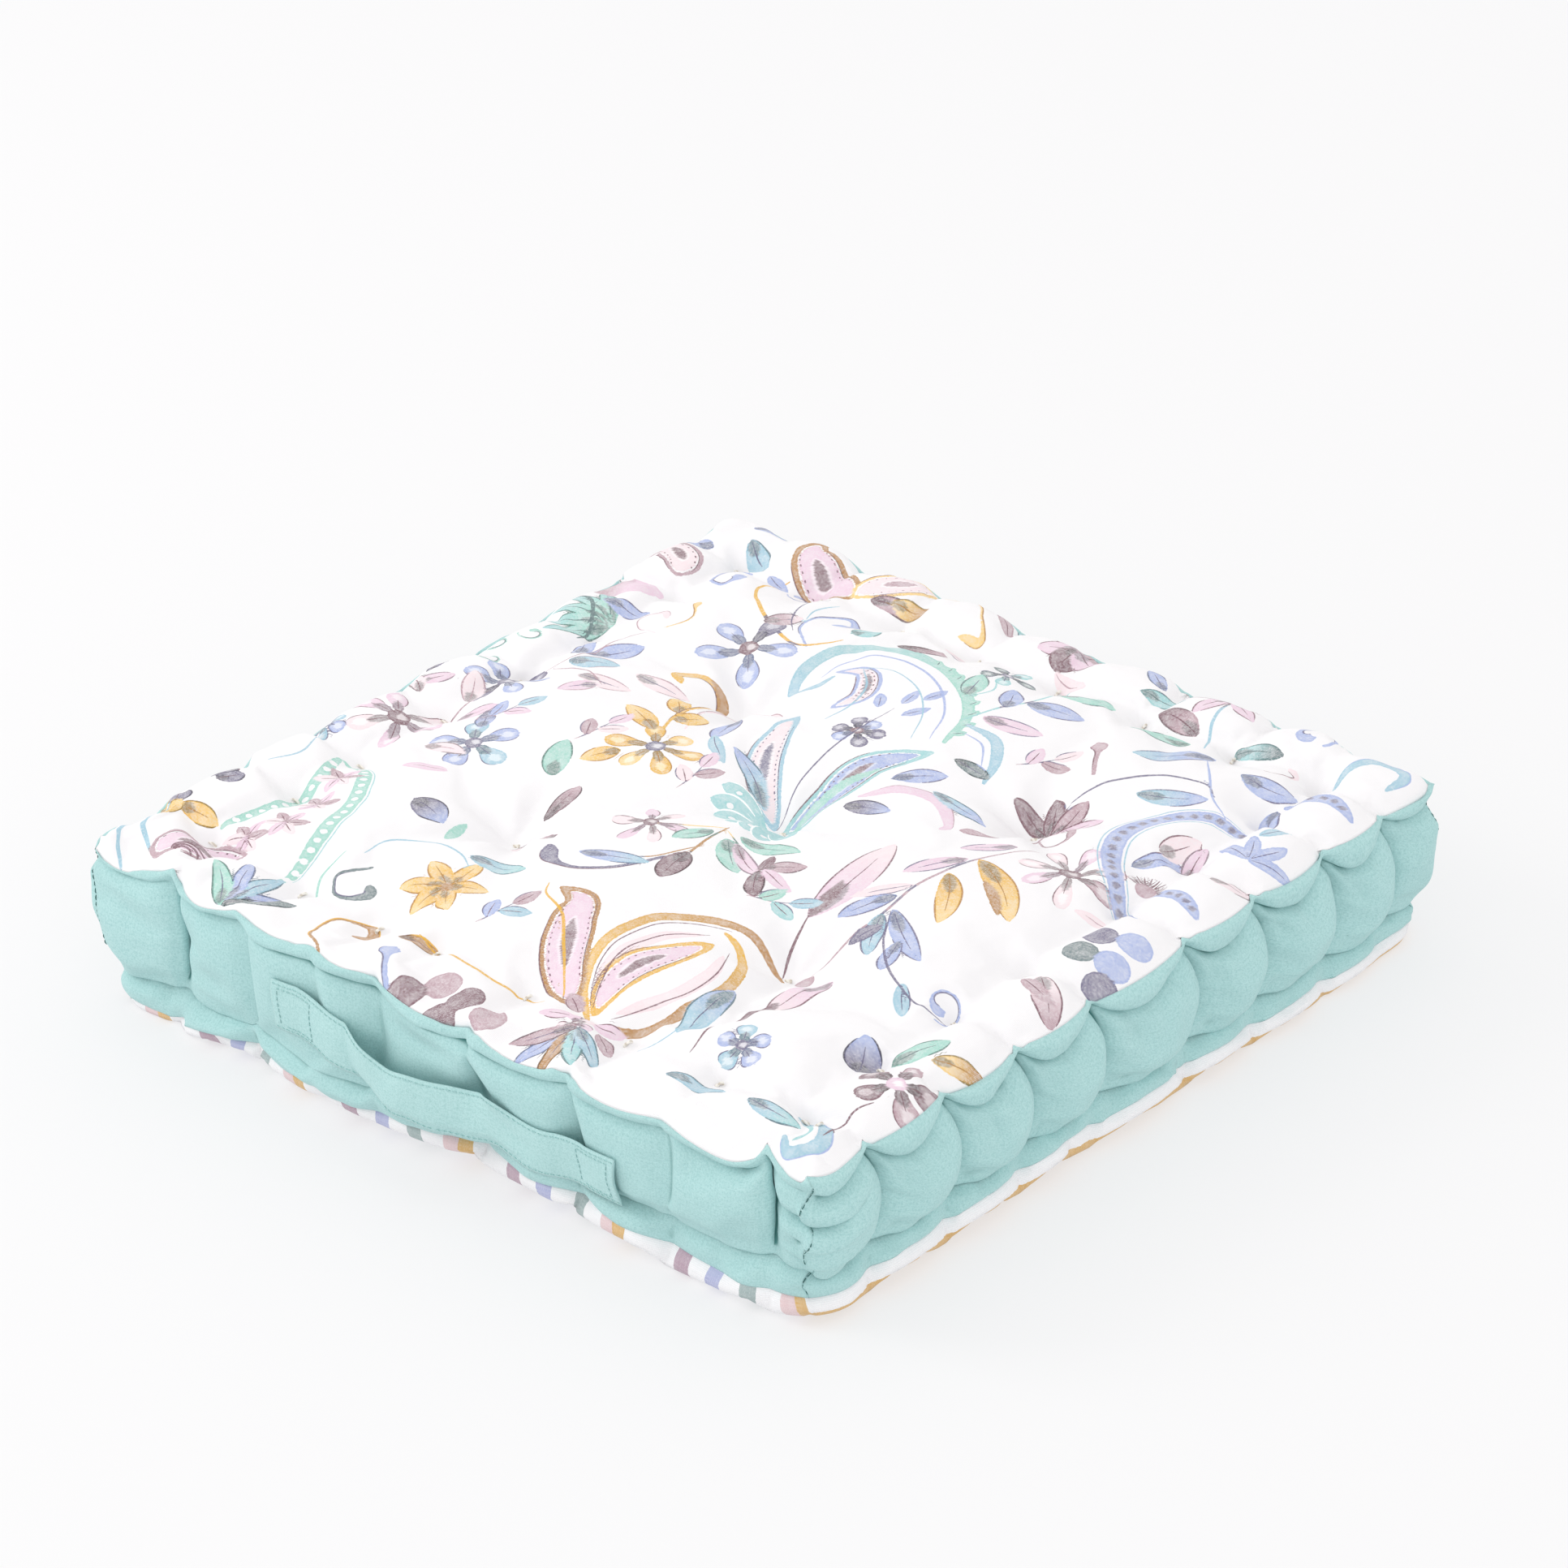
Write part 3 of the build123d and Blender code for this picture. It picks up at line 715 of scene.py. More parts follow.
def paint_ochre(p):
    """The large curled drops near the front, and the flowers in mustard."""
    big = through((74, -214), (50, -190), (38, -160), (42, -130), (62, -112), (86, -106), (112, -112))
    p.shape(big, 3.2, tapered, MUSTARD, OCHRE)
    p.outline(big, 5.5, tapered, PLUM, 0.1, 0.8, (-1,))
    right = through((74, -214), (100, -196), (110, -166), (104, -136), (90, -118), (76, -114))
    p.shape(right, 3.4, tapered, OCHRE, MUSTARD)
    p.shape(through((72, -204), (54, -176), (54, -142), (70, -122)), 4.5, leafy, BLUSH)
    p.shape(through((80, -200), (96, -176), (96, -148), (86, -126)), 4.5, leafy, BLUSH)
    p.drop(through((70, -206), (64, -176), (70, -148), (78, -124)), 11, MUSTARD, PINK, PLUM, rim=2.4)
    p.stroke(through((66, -202), (52, -170), (54, -140), (72, -120)), 0.5, PLUM, layer=1)
    p.stroke(through((80, -204), (99, -174), (98, -146), (86, -122)), 0.5, PLUM, layer=1)
    small = through((56, -206), (30, -184), (14, -160), (4, -142), (-14, -138))
    p.drop(small, 13, OCHRE, PINK, PLUM, rim=2.2)
    p.stroke(through((48, -204), (22, -176), (4, -156), (-14, -148), (-22, -138)), 0.9, MUSTARD)
    for x, y, turn, ink in (
        (62, -208, 150, MAUVE), (76, -212, 20, PINK), (84, -216, -20, MAUVE), (66, -216, 200, PINK),
    ):
        p.leaf(x, y, turn, 17, 7, ink, 25, rib=PLUM, edge=PLUM)
    p.flower(72, -220, 9, 5, (PINK, BLUSH), PLUM, vein=PLUM)
    for turn in (88, 152, 214, 262, 318, 20):
        p.leaf(-67, -169, turn, 25, 10, MUSTARD, 16, HONEY, rib=OCHRE, edge=OCHRE)
    p.disc(-67, -169, 3, OCHRE)
    p.flower(-78, 0, 27, 6, (MUSTARD, HONEY, MUSTARD), SLATE, 0.72, 20, OCHRE)
    for x, y, turn, long in ((-92, 14, 158, 34), (-98, 40, 135, 24), (-96, 32, 60, 22), (-90, -14, 235, 22)):
        p.leaf(x, y, turn, long, 11, MUSTARD, 18, HONEY, rib=OCHRE, edge=OCHRE)
    p.scroll(through((-88, 14), (-98, 40), (-96, 64), (-106, 80), (-122, 84), (-132, 76), (-124, 70)),
             4.2, MUSTARD, rim=PLUM)
    p.shape(through((-98, 62), (-100, 78), (-116, 86)), 2.6, leafy, OCHRE)
    for x, y, turn, long, wide in ((130, 18, -36, 62, 13), (128, -4, -56, 48, 11)):
        p.leaf(x, y, turn, long, wide, MUSTARD, -26, HONEY, rib=OCHRE, edge=OCHRE)
    p.shape(arc(146, 2, -38, 34, -18), 2.8, leafy, OCHRE)
    p.scroll(through((-172, 110), (-168, 128), (-176, 140), (-182, 148)), 2.6, HONEY, rim=OCHRE)
    p.stroke(through((-166, 208), (-168, 186), (-156, 168), (-134, 152), (-104, 140), (-90, 150), (-84, 160)),
             1.2, MUSTARD)
    p.stroke(through((6, -34), (8, -54), (14, -78)), 0.8, OCHRE)
    p.stroke(through((8, -38), (26, -46), (48, -58)), 0.6, HONEY)
    p.stroke(through((12, -60), (2, -86), (-12, -98)), 0.6, OCHRE)
    p.stroke(through((6, -36), (-8, -48), (-22, -60)), 0.6, HONEY)


def paint_right(p):
    """The sprays, leaves and dotted bands towards the right."""
    p.leaf(98, -76, 98, 80, 17, PINK, 14, BLUSH, rib=PLUM, edge=PLUM)
    p.shape(arc(98, -76, 100, 34, 10), 3.6, leafy, PLUM)
    p.stroke(through((110, -110), (102, -94), (97, -74)), 0.8, PLUM)
    p.leaf(141, -107, -96, 46, 12, PINK, 8, BLUSH, rib=PLUM, edge=PLUM)
    p.shape(arc(135, -140, -93, 30, -8), 3.4, leafy, PLUM)
    p.stroke(through((135, -150), (131, -176), (134, -204)), 0.7, PLUM)
    p.disc(123, -108, 5, MAUVE)
    p.stroke(through((143, 52), (130, 20), (124, -20), (126, -56), (123, -106)), 0.8, MAUVE)
    for x, y, turn, long, wide, ink in (
        (134, 44, 228, 30, 8, PINK), (126, 14, 244, 36, 9, PINK), (123, -24, 236, 32, 7, BLUSH),
        (122, -36, 250, 34, 9, PERIWINKLE), (126, -52, -62, 36, 9, SKY), (128, -46, -34, 52, 10, PERIWINKLE),
        (150, -66, -70, 28, 8, PERIWINKLE), (176, -94, -50, 24, 7, SKY), (132, -60, -104, 20, 7, SLATE),
    ):
        p.leaf(x, y, turn, long, wide, ink, 16, edge=SLATE)
    p.stroke(through((128, -48), (142, -70), (164, -90), (188, -100), (206, -96)), 0.7, SLATE)
    p.scroll(curl(198, -90, 11, -70, 1.1), 3.2, PERIWINKLE, rim=SLATE)
    p.flower(170, 42, 31, 7, (BLUSH, PINK, BLUSH, MAUVE), PLUM, 0.62, 200, PLUM)
    hook = through((216, 138), (188, 132), (170, 112), (168, 86), (182, 62), (202, 44), (222, 32))
    p.band(hook, 5.6, PERIWINKLE, SLATE, 7, 0.3)
    p.outline(hook, 7.4, tapered, SKY, 0.05, 0.95, (1, -1))
    for turn in range(20, 200, 18):
        p.stroke(arc(204, 62, turn, 13), 0.5, PLUM)
    p.disc(204, 62, 5.5, MAUVE)
    p.leaf(186, 74, 52, 30, 9, PERIWINKLE, -24, edge=SLATE)
    p.leaf(190, 92, 72, 26, 13, BLUSH, 10, rib=PLUM, edge=PLUM)
    p.leaf(208, 92, 100, 24, 8, PINK, -20, rib=PLUM)
    for turn, long, ink in (
        (168, 30, PLUM), (122, 26, PLUM), (78, 26, MAUVE), (40, 28, PINK), (12, 20, BLUSH),
    ):
        p.leaf(124, 84, turn, long, 9, ink, 22, rib=PLUM, edge=PLUM)
    p.scroll(through((124, 86), (120, 68), (112, 50), (100, 40)), 3.6, MAUVE, rim=PLUM)
    p.scroll(through((122, 78), (134, 68), (144, 74), (140, 84)), 2.8, MAUVE, rim=PLUM)
    p.stroke(through((122, 104), (128, 128), (146, 148), (168, 156), (180, 150)), 0.9, SLATE)
    p.leaf(146, 128, 28, 38, 12, SKY, 30, PERIWINKLE, edge=SLATE)
    p.scroll(through((116, 130), (108, 142), (102, 152), (98, 156)), 5.4, MAUVE, rim=PLUM)
    p.leaves(
        (150, 192, 226, 46, 12, PERIWINKLE, -26, SKY), (176, 178, 12, 34, 12, PERIWINKLE, 30),
        (206, 172, -66, 26, 10, PERIWINKLE, 18), edge=SLATE,
    )
    p.stroke(through((150, 184), (164, 166), (180, 148), (196, 138)), 0.7, PERIWINKLE)
    p.leaf(128, 198, 186, 38, 13, MINT, -16, rib=GREY_GREEN, edge=GREY_GREEN)
    p.leaf(124, 210, 166, 30, 11, MAUVE, 12, PLUM, rib=PLUM)
    p.stroke(through((120, 252), (124, 228), (132, 208), (138, 196)), 0.9, SKY)
    p.leaf(148, 212, 6, 30, 8, AQUA, -12, GREY_GREEN, rib=GREY_GREEN)
    p.scroll(through((170, 200), (184, 196), (192, 204), (184, 210)), 2.4, BLUSH, rim=PLUM)
    p.flower(153, -187, 14, 5, (PERIWINKLE, SKY), SLATE, turn=40)
    p.leaf(119, -196, 98, 50, 13, SKY, -8, PERIWINKLE)
    p.stroke(through((112, -216), (116, -200), (120, -180)), 0.5, SKY)


def paint_left(p):
    """The flowers and the dotted drop towards the left."""
    p.flower(-204, 16, 25, 6, (PERIWINKLE, SLATE, PERIWINKLE), SLATE, 0.78, 30)
    p.stroke(through((-205, -8), (-206, -26), (-200, -40)), 0.5, MAUVE)
    p.leaf(-206, -12, 125, 26, 10, BLUSH, 20, rib=MAUVE, edge=MAUVE)
    p.leaf(-200, -28, 40, 24, 10, PINK, 20, rib=MAUVE)
    p.flower(-217, -53, 29, 6, (PINK, BLUSH, PINK), PLUM, 0.7, 10, PLUM)
    p.flower(-158, -54, 24, 5, (PERIWINKLE, SKY, PERIWINKLE), SLATE, 0.8, 60)
    p.leaf(-166, -40, 132, 26, 9, PERIWINKLE, 16, SLATE)
    p.leaves(
        (-182, -68, 10, 26, 8, BLUSH, -20), (-150, -84, 205, 26, 7, PINK, 12), rib=MAUVE,
    )
    p.flower(-122, 124, 29, 5, (PERIWINKLE, PERIWINKLE, SLATE), PLUM, 0.66, -50)
    p.leaf(-132, 148, 60, 24, 10, MAUVE, 18, BLUSH, rib=MAUVE)
    for x, y, turn, long, wide, ink in (
        (-190, 60, 128, 30, 12, PERIWINKLE), (-188, 64, 48, 32, 12, PERIWINKLE), (-190, 52, 12, 32, 12, SKY),
        (-168, 36, 12, 34, 10, BLUSH), (-152, 34, 238, 22, 9, PINK), (-146, 58, 8, 36, 10, BLUSH),
    ):
        p.leaf(x, y, turn, long, wide, ink, 14, edge=MAUVE if ink is not PERIWINKLE else SLATE)
    p.stroke(through((-200, 42), (-188, 60), (-184, 84), (-176, 100)), 0.5, MAUVE)
    p.stroke(through((-196, 44), (-172, 44), (-150, 36)), 0.5, MAUVE)
    p.scroll(through((-172, 102), (-186, 104), (-196, 116), (-188, 126), (-180, 120)), 2.4, BLUSH, rim=MAUVE)
    p.scroll(curl(-190, 184, 15, 80, 0.95), 4.8, PERIWINKLE, rim=SLATE)
    p.leaf(-178, 204, -12, 18, 7, PERIWINKLE, 20)
    p.scroll(curl(-152, 200, 6.5, 200, 1.0), 2.2, PERIWINKLE, rim=SLATE)
    p.scroll(through((-96, 142), (-112, 156), (-116, 176), (-104, 190), (-94, 180), (-102, 172)),
             3.6, PERIWINKLE, rim=SLATE)
    p.stroke(through((-128, 200), (-132, 184), (-126, 166), (-112, 150)), 0.5, SLATE, layer=1)
    p.stroke(through((-118, 196), (-122, 180), (-118, 168)), 0.5, SKY)
    p.leaf(-60, 178, 16, 30, 11, PLUM, 16, MAUVE, rib=PLUM)
    p.leaf(-86, 168, 62, 18, 12, AQUA, 10, rib=GREY_GREEN)
    p.flower(8, 190, 17, 5, (GREY_GREEN, AQUA, GREY_GREEN), SLATE, 0.75, 10, SLATE)
    p.stroke(through((10, 178), (18, 164), (14, 146)), 0.6, AQUA)
    p.stroke(through((34, 216), (42, 192), (42, 168), (36, 148), (30, 124)), 0.9, AQUA)
    for x, y, turn, long, wide, ink in (
        (42, 190, 18, 34, 12, MINT), (42, 164, 14, 34, 14, PERIWINKLE), (38, 150, 118, 30, 11, PERIWINKLE),
        (12, 148, 112, 32, 11, MINT), (36, 134, 12, 36, 11, PINK), (-22, 196, 172, 22, 6, BLUSH),
    ):
        p.leaf(x, y, turn, long, wide, ink, 14, edge=GREY_GREEN if ink is MINT else SLATE)
    p.leaf(-104, -52, 118, 34, 12, MINT, -22, rib=None)
    p.leaves(
        (-80, -82, 100, 32, 12, PLUM, 12, MAUVE), (-66, -88, 216, 26, 9, MAUVE, -14, BLUSH), rib=PLUM,
    )
    p.leaf(-142, -118, -8, 26, 15, SLATE, -12, PERIWINKLE)
    p.leaf(-106, -130, 100, 20, 5, MINT, -30, rib=None)
    p.scroll(through((6, -84), (-4, -104), (-20, -118), (-40, -118), (-54, -106)), 5.6, SLATE, rim=PLUM)
    p.leaf(-34, -104, 16, 40, 9, PERIWINKLE, 12, SKY)
    p.flower(-25, -60, 21, 6, (PINK, BLUSH), PLUM, 0.62, 15, PLUM)
    for x, y, turn, long, wide, ink in (
        (16, -36, 4, 40, 12, MINT), (14, -44, -40, 36, 13, MINT), (4, -44, -112, 24, 9, MINT),
        (12, -72, -76, 30, 13, PLUM), (20, -44, -30, 40, 8, PINK), (48, -58, 34, 26, 9, MAUVE),
        (50, -60, -54, 28, 9, PLUM), (50, -58, 110, 16, 7, PLUM), (52, -58, -16, 26, 7, PINK),
    ):
        p.leaf(x, y, turn, long, wide, ink, 16, rib=GREY_GREEN if ink is MINT else PLUM)
    p.leaf(-78, -140, 14, 34, 12, SKY, 18, AQUA)
    p.stroke(through((-124, -172), (-122, -152), (-106, -140), (-84, -142), (-70, -150)), 0.8, SKY)
    p.scroll(through((-114, -176), (-124, -192), (-112, -204), (-98, -196), (-104, -188)),
             3.8, GREY_GREEN, rim=SLATE)
    p.stroke(through((-132, -176), (-134, -196), (-120, -212)), 0.7, MINT)
    dotted = through((-212, -100), (-192, -106), (-172, -128), (-158, -160), (-148, -194), (-146, -214))
    p.band(dotted, 4.6, MINT, WHITE, 7.5, 0.42)
    p.outline(dotted, 6.2, tapered, AQUA, 0.05, 0.95, (1,))
    p.band(through((-214, -102), (-206, -128), (-204, -160), (-210, -192)), 4.4, MINT, WHITE, 7.5, 0.42)
    for x, y in ((-188, -146), (-178, -176), (-196, -120), (-190, -194)):
        for turn, ink in ((90, PINK), (150, MAUVE), (30, MAUVE), (205, BLUSH), (-25, BLUSH), (-80, PINK)):
            p.leaf(x, y, turn, 14, 5.4, ink, 14, rib=PLUM)


def paint_border(p):
    """The motifs that the rolls carry round the edge."""
    for x, y, turn in (
        (-250, -158, 0), (-238, -168, 70), (-252, -172, 150), (-240, -152, 220), (-246, -184, 300),
    ):
        p.leaf(x, y, turn, 15, 12, SLATE, 10, rib=PLUM)
    for x, y, turn in ((-236, -196, 10), (-250, -206, 110), (-248, -214, 60)):
        p.leaf(x, y, turn, 24, 10, MUSTARD, 14, HONEY, rib=OCHRE)
    p.stroke(through((-246, -200), (-236, -224), (-214, -240)), 1.4, SKY)
    p.stroke(through((-252, -214), (-244, -236), (-226, -250)), 1.2, SKY)
    p.drop(through((-176, -206), (-196, -214), (-210, -228), (-206, -244)), 13, MAUVE, PINK, PLUM)
    for radius in (7, 11, 15):
        p.stroke(curl(-200, -232, radius, 20, 0.5), 0.9, PLUM, layer=radius // 4 % 2)
    for turn, ink in ((60, PERIWINKLE), (90, SKY), (118, PERIWINKLE), (36, GREY_GREEN), (146, MINT)):
        p.leaf(-146, -248, turn, 38, 8, ink, 14)
    p.scroll(through((-72, -250), (-90, -240), (-96, -222), (-84, -210), (-74, -216), (-80, -222)),
             3.4, OCHRE, rim=MUSTARD)
    p.leaf(-60, -210, 8, 24, 8, OCHRE, 16, rib=PLUM)
    p.stroke(through((-52, -204), (-20, -212), (10, -214), (40, -208)), 0.9, MUSTARD)
    p.scroll(through((-22, -252), (-34, -244), (-44, -232), (-46, -226)), 6, PERIWINKLE, rim=SLATE)
    for x, y, ink in (
        (-6, -232, MAUVE), (14, -236, PLUM), (34, -240, MAUVE), (10, -250, PLUM), (-16, -246, PLUM),
    ):
        p.disc(x, y, 9, ink)
    for turn, ink in ((250, PERIWINKLE), (282, OCHRE), (310, AQUA), (226, MAUVE), (335, SKY)):
        p.leaf(76, -222, turn, 32, 8, ink, 18)
    p.leaf(140, -226, 8, 34, 8, SKY, -16, rib=None)
    p.leaf(186, -220, -6, 34, 9, SKY, 18, AQUA)
    p.scroll(through((206, -206), (226, -212), (238, -228), (232, -244), (222, -238)),
             4, SKY, tapered, rim=PERIWINKLE)
    p.stroke(through((210, -214), (226, -222), (228, -238)), 1.2, AQUA)
    p.flower(234, -168, 24, 5, (PLUM, MAUVE, PLUM), PINK, 0.8, 30, PLUM)
    p.stroke(through((236, -186), (230, -204), (234, -222)), 0.7, PLUM)
    p.leaf(206, -162, 122, 26, 15, SLATE, 10, PERIWINKLE)
    p.leaf(216, -148, 64, 30, 10, MINT, 16, rib=GREY_GREEN)
    p.leaf(232, -138, 40, 26, 9, HONEY, 22, OCHRE, rib=OCHRE)
    p.leaf(224, -46, -46, 36, 12, BLUSH, -12, MAUVE, rib=PLUM, edge=PLUM)
    p.leaf(218, -52, -20, 26, 7, MAUVE, 12, rib=PLUM)
    for x, y, ink in (
        (222, 4, SLATE), (238, 10, PERIWINKLE), (224, -14, GREY_GREEN), (240, -10, PERIWINKLE),
        (246, -24, SLATE),
    ):
        p.disc(x, y, 8.5, ink)
    p.leaf(214, 22, 190, 22, 6, BLUSH, 20, rib=MAUVE)
    p.band(through((212, 56), (228, 60), (244, 54)), 4.2, PERIWINKLE, SLATE, 5.5, 0.3)
    p.band(through((208, 176), (226, 188), (244, 182)), 5, PERIWINKLE, SLATE, 6.5, 0.3)
    for turn in (30, 75, 120, 165):
        p.leaf(232, 112, turn, 24, 7, PERIWINKLE, 16)
    p.leaf(228, 84, 30, 26, 8, BLUSH, 16, rib=PLUM)
    p.leaf(222, 134, 74, 22, 7, SKY, 20)
    p.scroll(curl(180, 238, 14, -30, 0.95), 5, PERIWINKLE, rim=SLATE)
    p.scroll(through((212, 214), (220, 236), (238, 238), (240, 222)), 3.4, SKY, tapered, rim=PERIWINKLE)
    for turn, ink in ((200, PINK), (150, BLUSH), (330, PINK), (20, MAUVE), (260, PINK)):
        p.leaf(118, 248, turn, 28, 9, ink, 16, rib=PLUM, edge=PLUM)
    for turn, ink in ((80, MAUVE), (150, MAUVE), (215, PINK), (275, PLUM), (340, PINK)):
        p.leaf(18, 238, turn, 22, 15, ink, 10, rib=PLUM, edge=PLUM)
    p.leaf(-6, 246, 168, 36, 8, SKY, 14, AQUA)
    p.leaf(-24, 234, 150, 30, 7, MAUVE, 20, rib=PLUM)
    p.scroll(through((-76, 238), (-60, 244), (-46, 232), (-34, 218), (-46, 214)), 3, HONEY, rim=OCHRE)
    p.drop(through((-120, 214), (-148, 218), (-172, 232), (-176, 246)), 14, OCHRE, PINK, PLUM, rim=3)
    p.drop(through((-124, 212), (-112, 228), (-98, 240), (-86, 252)), 11, HONEY, BLUSH, MAUVE)
    p.leaf(-112, 214, 8, 30, 8, MAUVE, -16, rib=PLUM)
    p.leaf(-100, 218, 16, 24, 9, HONEY, 10, OCHRE, rib=OCHRE)
    for x, y, turn, ink in (
        (-222, 240, 20, PERIWINKLE), (-240, 226, 200, SKY), (-226, 210, 190, PERIWINKLE),
        (-212, 226, 330, SKY),
    ):
        p.leaf(x, y, turn, 26, 10, ink, 14)
    p.drop(through((-216, 168), (-226, 184), (-242, 190), (-252, 182)), 11, MAUVE, BLUSH, PLUM)
    p.shape(through((-216, 150), (-230, 142), (-252, 138)), 13, tapered, PINK, MAUVE)
    for turn in (140, 165, 190, 215, 240):
        p.leaf(-208, 104, turn, 40, 8, MINT, 12, AQUA, rib=GREY_GREEN)
    p.stroke(through((-252, 120), (-230, 112), (-216, 96), (-214, 80)), 1.1, GREY_GREEN)
    p.leaf(-226, 118, 12, 30, 9, PERIWINKLE, 20, edge=SLATE)
    for x, y in ((-228, 62), (-238, 46), (-230, 30), (-246, 30)):
        p.scroll(curl(x, y, 8, 200, 0.9), 2.4, MINT, rim=GREY_GREEN)
    for x, y, turn, ink in (
        (-240, -6, 110, SLATE), (-236, -20, 60, PINK), (-248, -34, 130, PERIWINKLE),
        (-228, -24, 150, BLUSH),
    ):
        p.leaf(x, y, turn, 22, 8, ink, 14, rib=PLUM)
    p.flower(-244, -82, 15, 6, (PERIWINKLE, SKY), SLATE)
    p.stroke(through((-232, -100), (-226, -118), (-234, -134)), 0.6, SKY)
    p.leaf(20, 216, -8, 26, 7, BLUSH, 14, rib=MAUVE)
    p.leaf(74, 222, 20, 28, 8, AQUA, 14, rib=GREY_GREEN)
    p.leaf(82, 232, 150, 24, 8, PERIWINKLE, 14)
    for x, y, turn, inks in (
        (-42, -22, 100, (BLUSH, MAUVE, PINK)), (62, -84, 30, (MINT, AQUA, SKY)),
        (-118, -20, 80, (MAUVE, BLUSH, PINK)), (-30, -186, 70, (PERIWINKLE, SKY, MAUVE)),
        (78, 110, 60, (PINK, MAUVE, BLUSH)), (-180, -30, 60, (PERIWINKLE, PINK, SKY)),
    ):
        p.sprig(x, y, turn, inks)


# ---------------------------------------------------------------- finished panels
TURNED_IN = 5.0      # how much of a panel's edge is turned inside the cover


def finer(grid, times):
    """A smooth grid through a coarse one's points. Each edge depends on that edge alone, so panels meet."""
    for axis in (0, 1):
        grid = np.moveaxis(grid, axis, 0)
        padded = np.concatenate([2 * grid[:1] - grid[1:2], grid, 2 * grid[-1:] - grid[-2:-1]])
        a, b, c, d = padded[:-3], padded[1:-2], padded[2:-1], padded[3:]
        steps = [catmull_rom(a, b, c, d, t) for t in np.arange(times) / times]
        fine = np.stack(steps, 1).reshape((-1,) + grid.shape[1:])
        grid = np.moveaxis(np.concatenate([fine, grid[-1:]]), 0, axis)
    return grid


def grid_normals(grid):
    """The directions out of a grid's surface."""
    return unit(np.cross(np.gradient(grid, axis=0), np.gradient(grid, axis=1)))


def ripples(shape, cell, seed):
    """Smooth random waves from about -1 to 1, cell points long."""
    rows, columns = (math.ceil(size / cell) + 2 for size in shape)
    coarse = np.random.default_rng(seed).uniform(-1, 1, (rows, columns))
    return finer(coarse[..., None], cell)[: shape[0], : shape[1], 0]


def edge_distance(shape, pitch):
    """How far each point of a grid is from the grid's nearest edge, in mm."""
    i, j = np.ogrid[: shape[0], : shape[1]]
    return np.minimum(
        np.minimum(i, shape[0] - 1 - i) * pitch[0], np.minimum(j, shape[1] - 1 - j) * pitch[1]
    ).astype(float)


def finish_panel(grid, out_sign, pitch, seed):
    """Puckers the cloth beside its seams and gives it fine creases."""
    normal = grid_normals(grid) * out_sign
    away = edge_distance(grid.shape[:2], pitch)
    raised = 0.55 * (1 - bell(away, 1.3)) * np.exp(-away / 9)
    free = 1 - bell(away, 2.5)
    pucker = 0.3 * ripples(grid.shape[:2], 5, seed) * np.exp(-away / 9) * free
    crease = 0.28 * ripples(grid.shape[:2], 11, seed + 1) * free
    return grid + normal * (raised + pucker + crease)[..., None]


def relaxed(grid, times):
    """The grid with its small wrinkles smoothed out, away from its edges."""
    grid = grid.copy()
    for _ in range(times):
        grid[1:-1, 1:-1] = (grid[:-2, 1:-1] + grid[2:, 1:-1] + grid[1:-1, :-2] + grid[1:-1, 2:]) / 4
    return grid


def hollows(grid):
    """How far each point of a side lies below the cloth around it, in mm; the side's material darkens it as
    painted shade.
    """
    return np.maximum(((relaxed(grid, 10) - grid) * grid_normals(grid)).sum(-1), 0)


def inwards(points):
    """How points of a panel's rim move towards the middle of the cushion."""
    flat = points[:, :2] / np.maximum(np.linalg.norm(points[:, :2], axis=1, keepdims=True), 1)
    drop = np.sign(HEIGHT / 2 - points[:, 2:]) * 1.5
    return np.hstack([-flat * TURNED_IN, drop])


def turn_in(grid):
    """Adds the edge of cloth that is turned inside the cover all round."""
    wide = np.pad(grid, ((1, 1), (1, 1), (0, 0)), mode="edge")
    rim = np.ones(wide.shape[:2], bool)
    rim[1:-1, 1:-1] = False
    wide[rim] += inwards(wide[rim])
    return wide


def grid_object(name, grid, flipped=False):
    """A mesh of quads from a grid of points in millimetres."""
    rows, columns = grid.shape[:2]
    ids = np.arange(rows * columns).reshape(rows, columns)
    faces = quads(ids)
    if flipped:
        faces = faces[:, ::-1]
    mesh = bpy.data.meshes.new(name)
    mesh.vertices.add(rows * columns)
    mesh.vertices.foreach_set("co", ((grid.reshape(-1, 3) + (0, CENTRE_Y, 0)) * MM).ravel())
    mesh.loops.add(faces.size)
    mesh.loops.foreach_set("vertex_index", faces.ravel())
    mesh.polygons.add(len(faces))
    mesh.polygons.foreach_set("loop_start", np.arange(0, faces.size, 4))
    mesh.polygons.foreach_set("use_smooth", np.ones(len(faces), bool))
    mesh.update(calc_edges=True)
    mesh.validate()
    return add_object(name, mesh)


def lay_cloth(obj, rows, columns, along_columns=False):
    """Stores how far along and across its cloth each point of a panel's grid lies, in mm."""
    u, v = np.meshgrid(rows, columns, indexing="ij")
    give(obj, "cloth", np.dstack([v, u, 0 * u] if along_columns else [u, v, 0 * u]))


def give(obj, name, values):
    """Stores three numbers at each point of a mesh, for its material."""
    attribute = obj.data.attributes.new(name, "FLOAT_VECTOR", "POINT")
    attribute.data.foreach_set("vector", np.ascontiguousarray(values, dtype=np.float32).ravel())


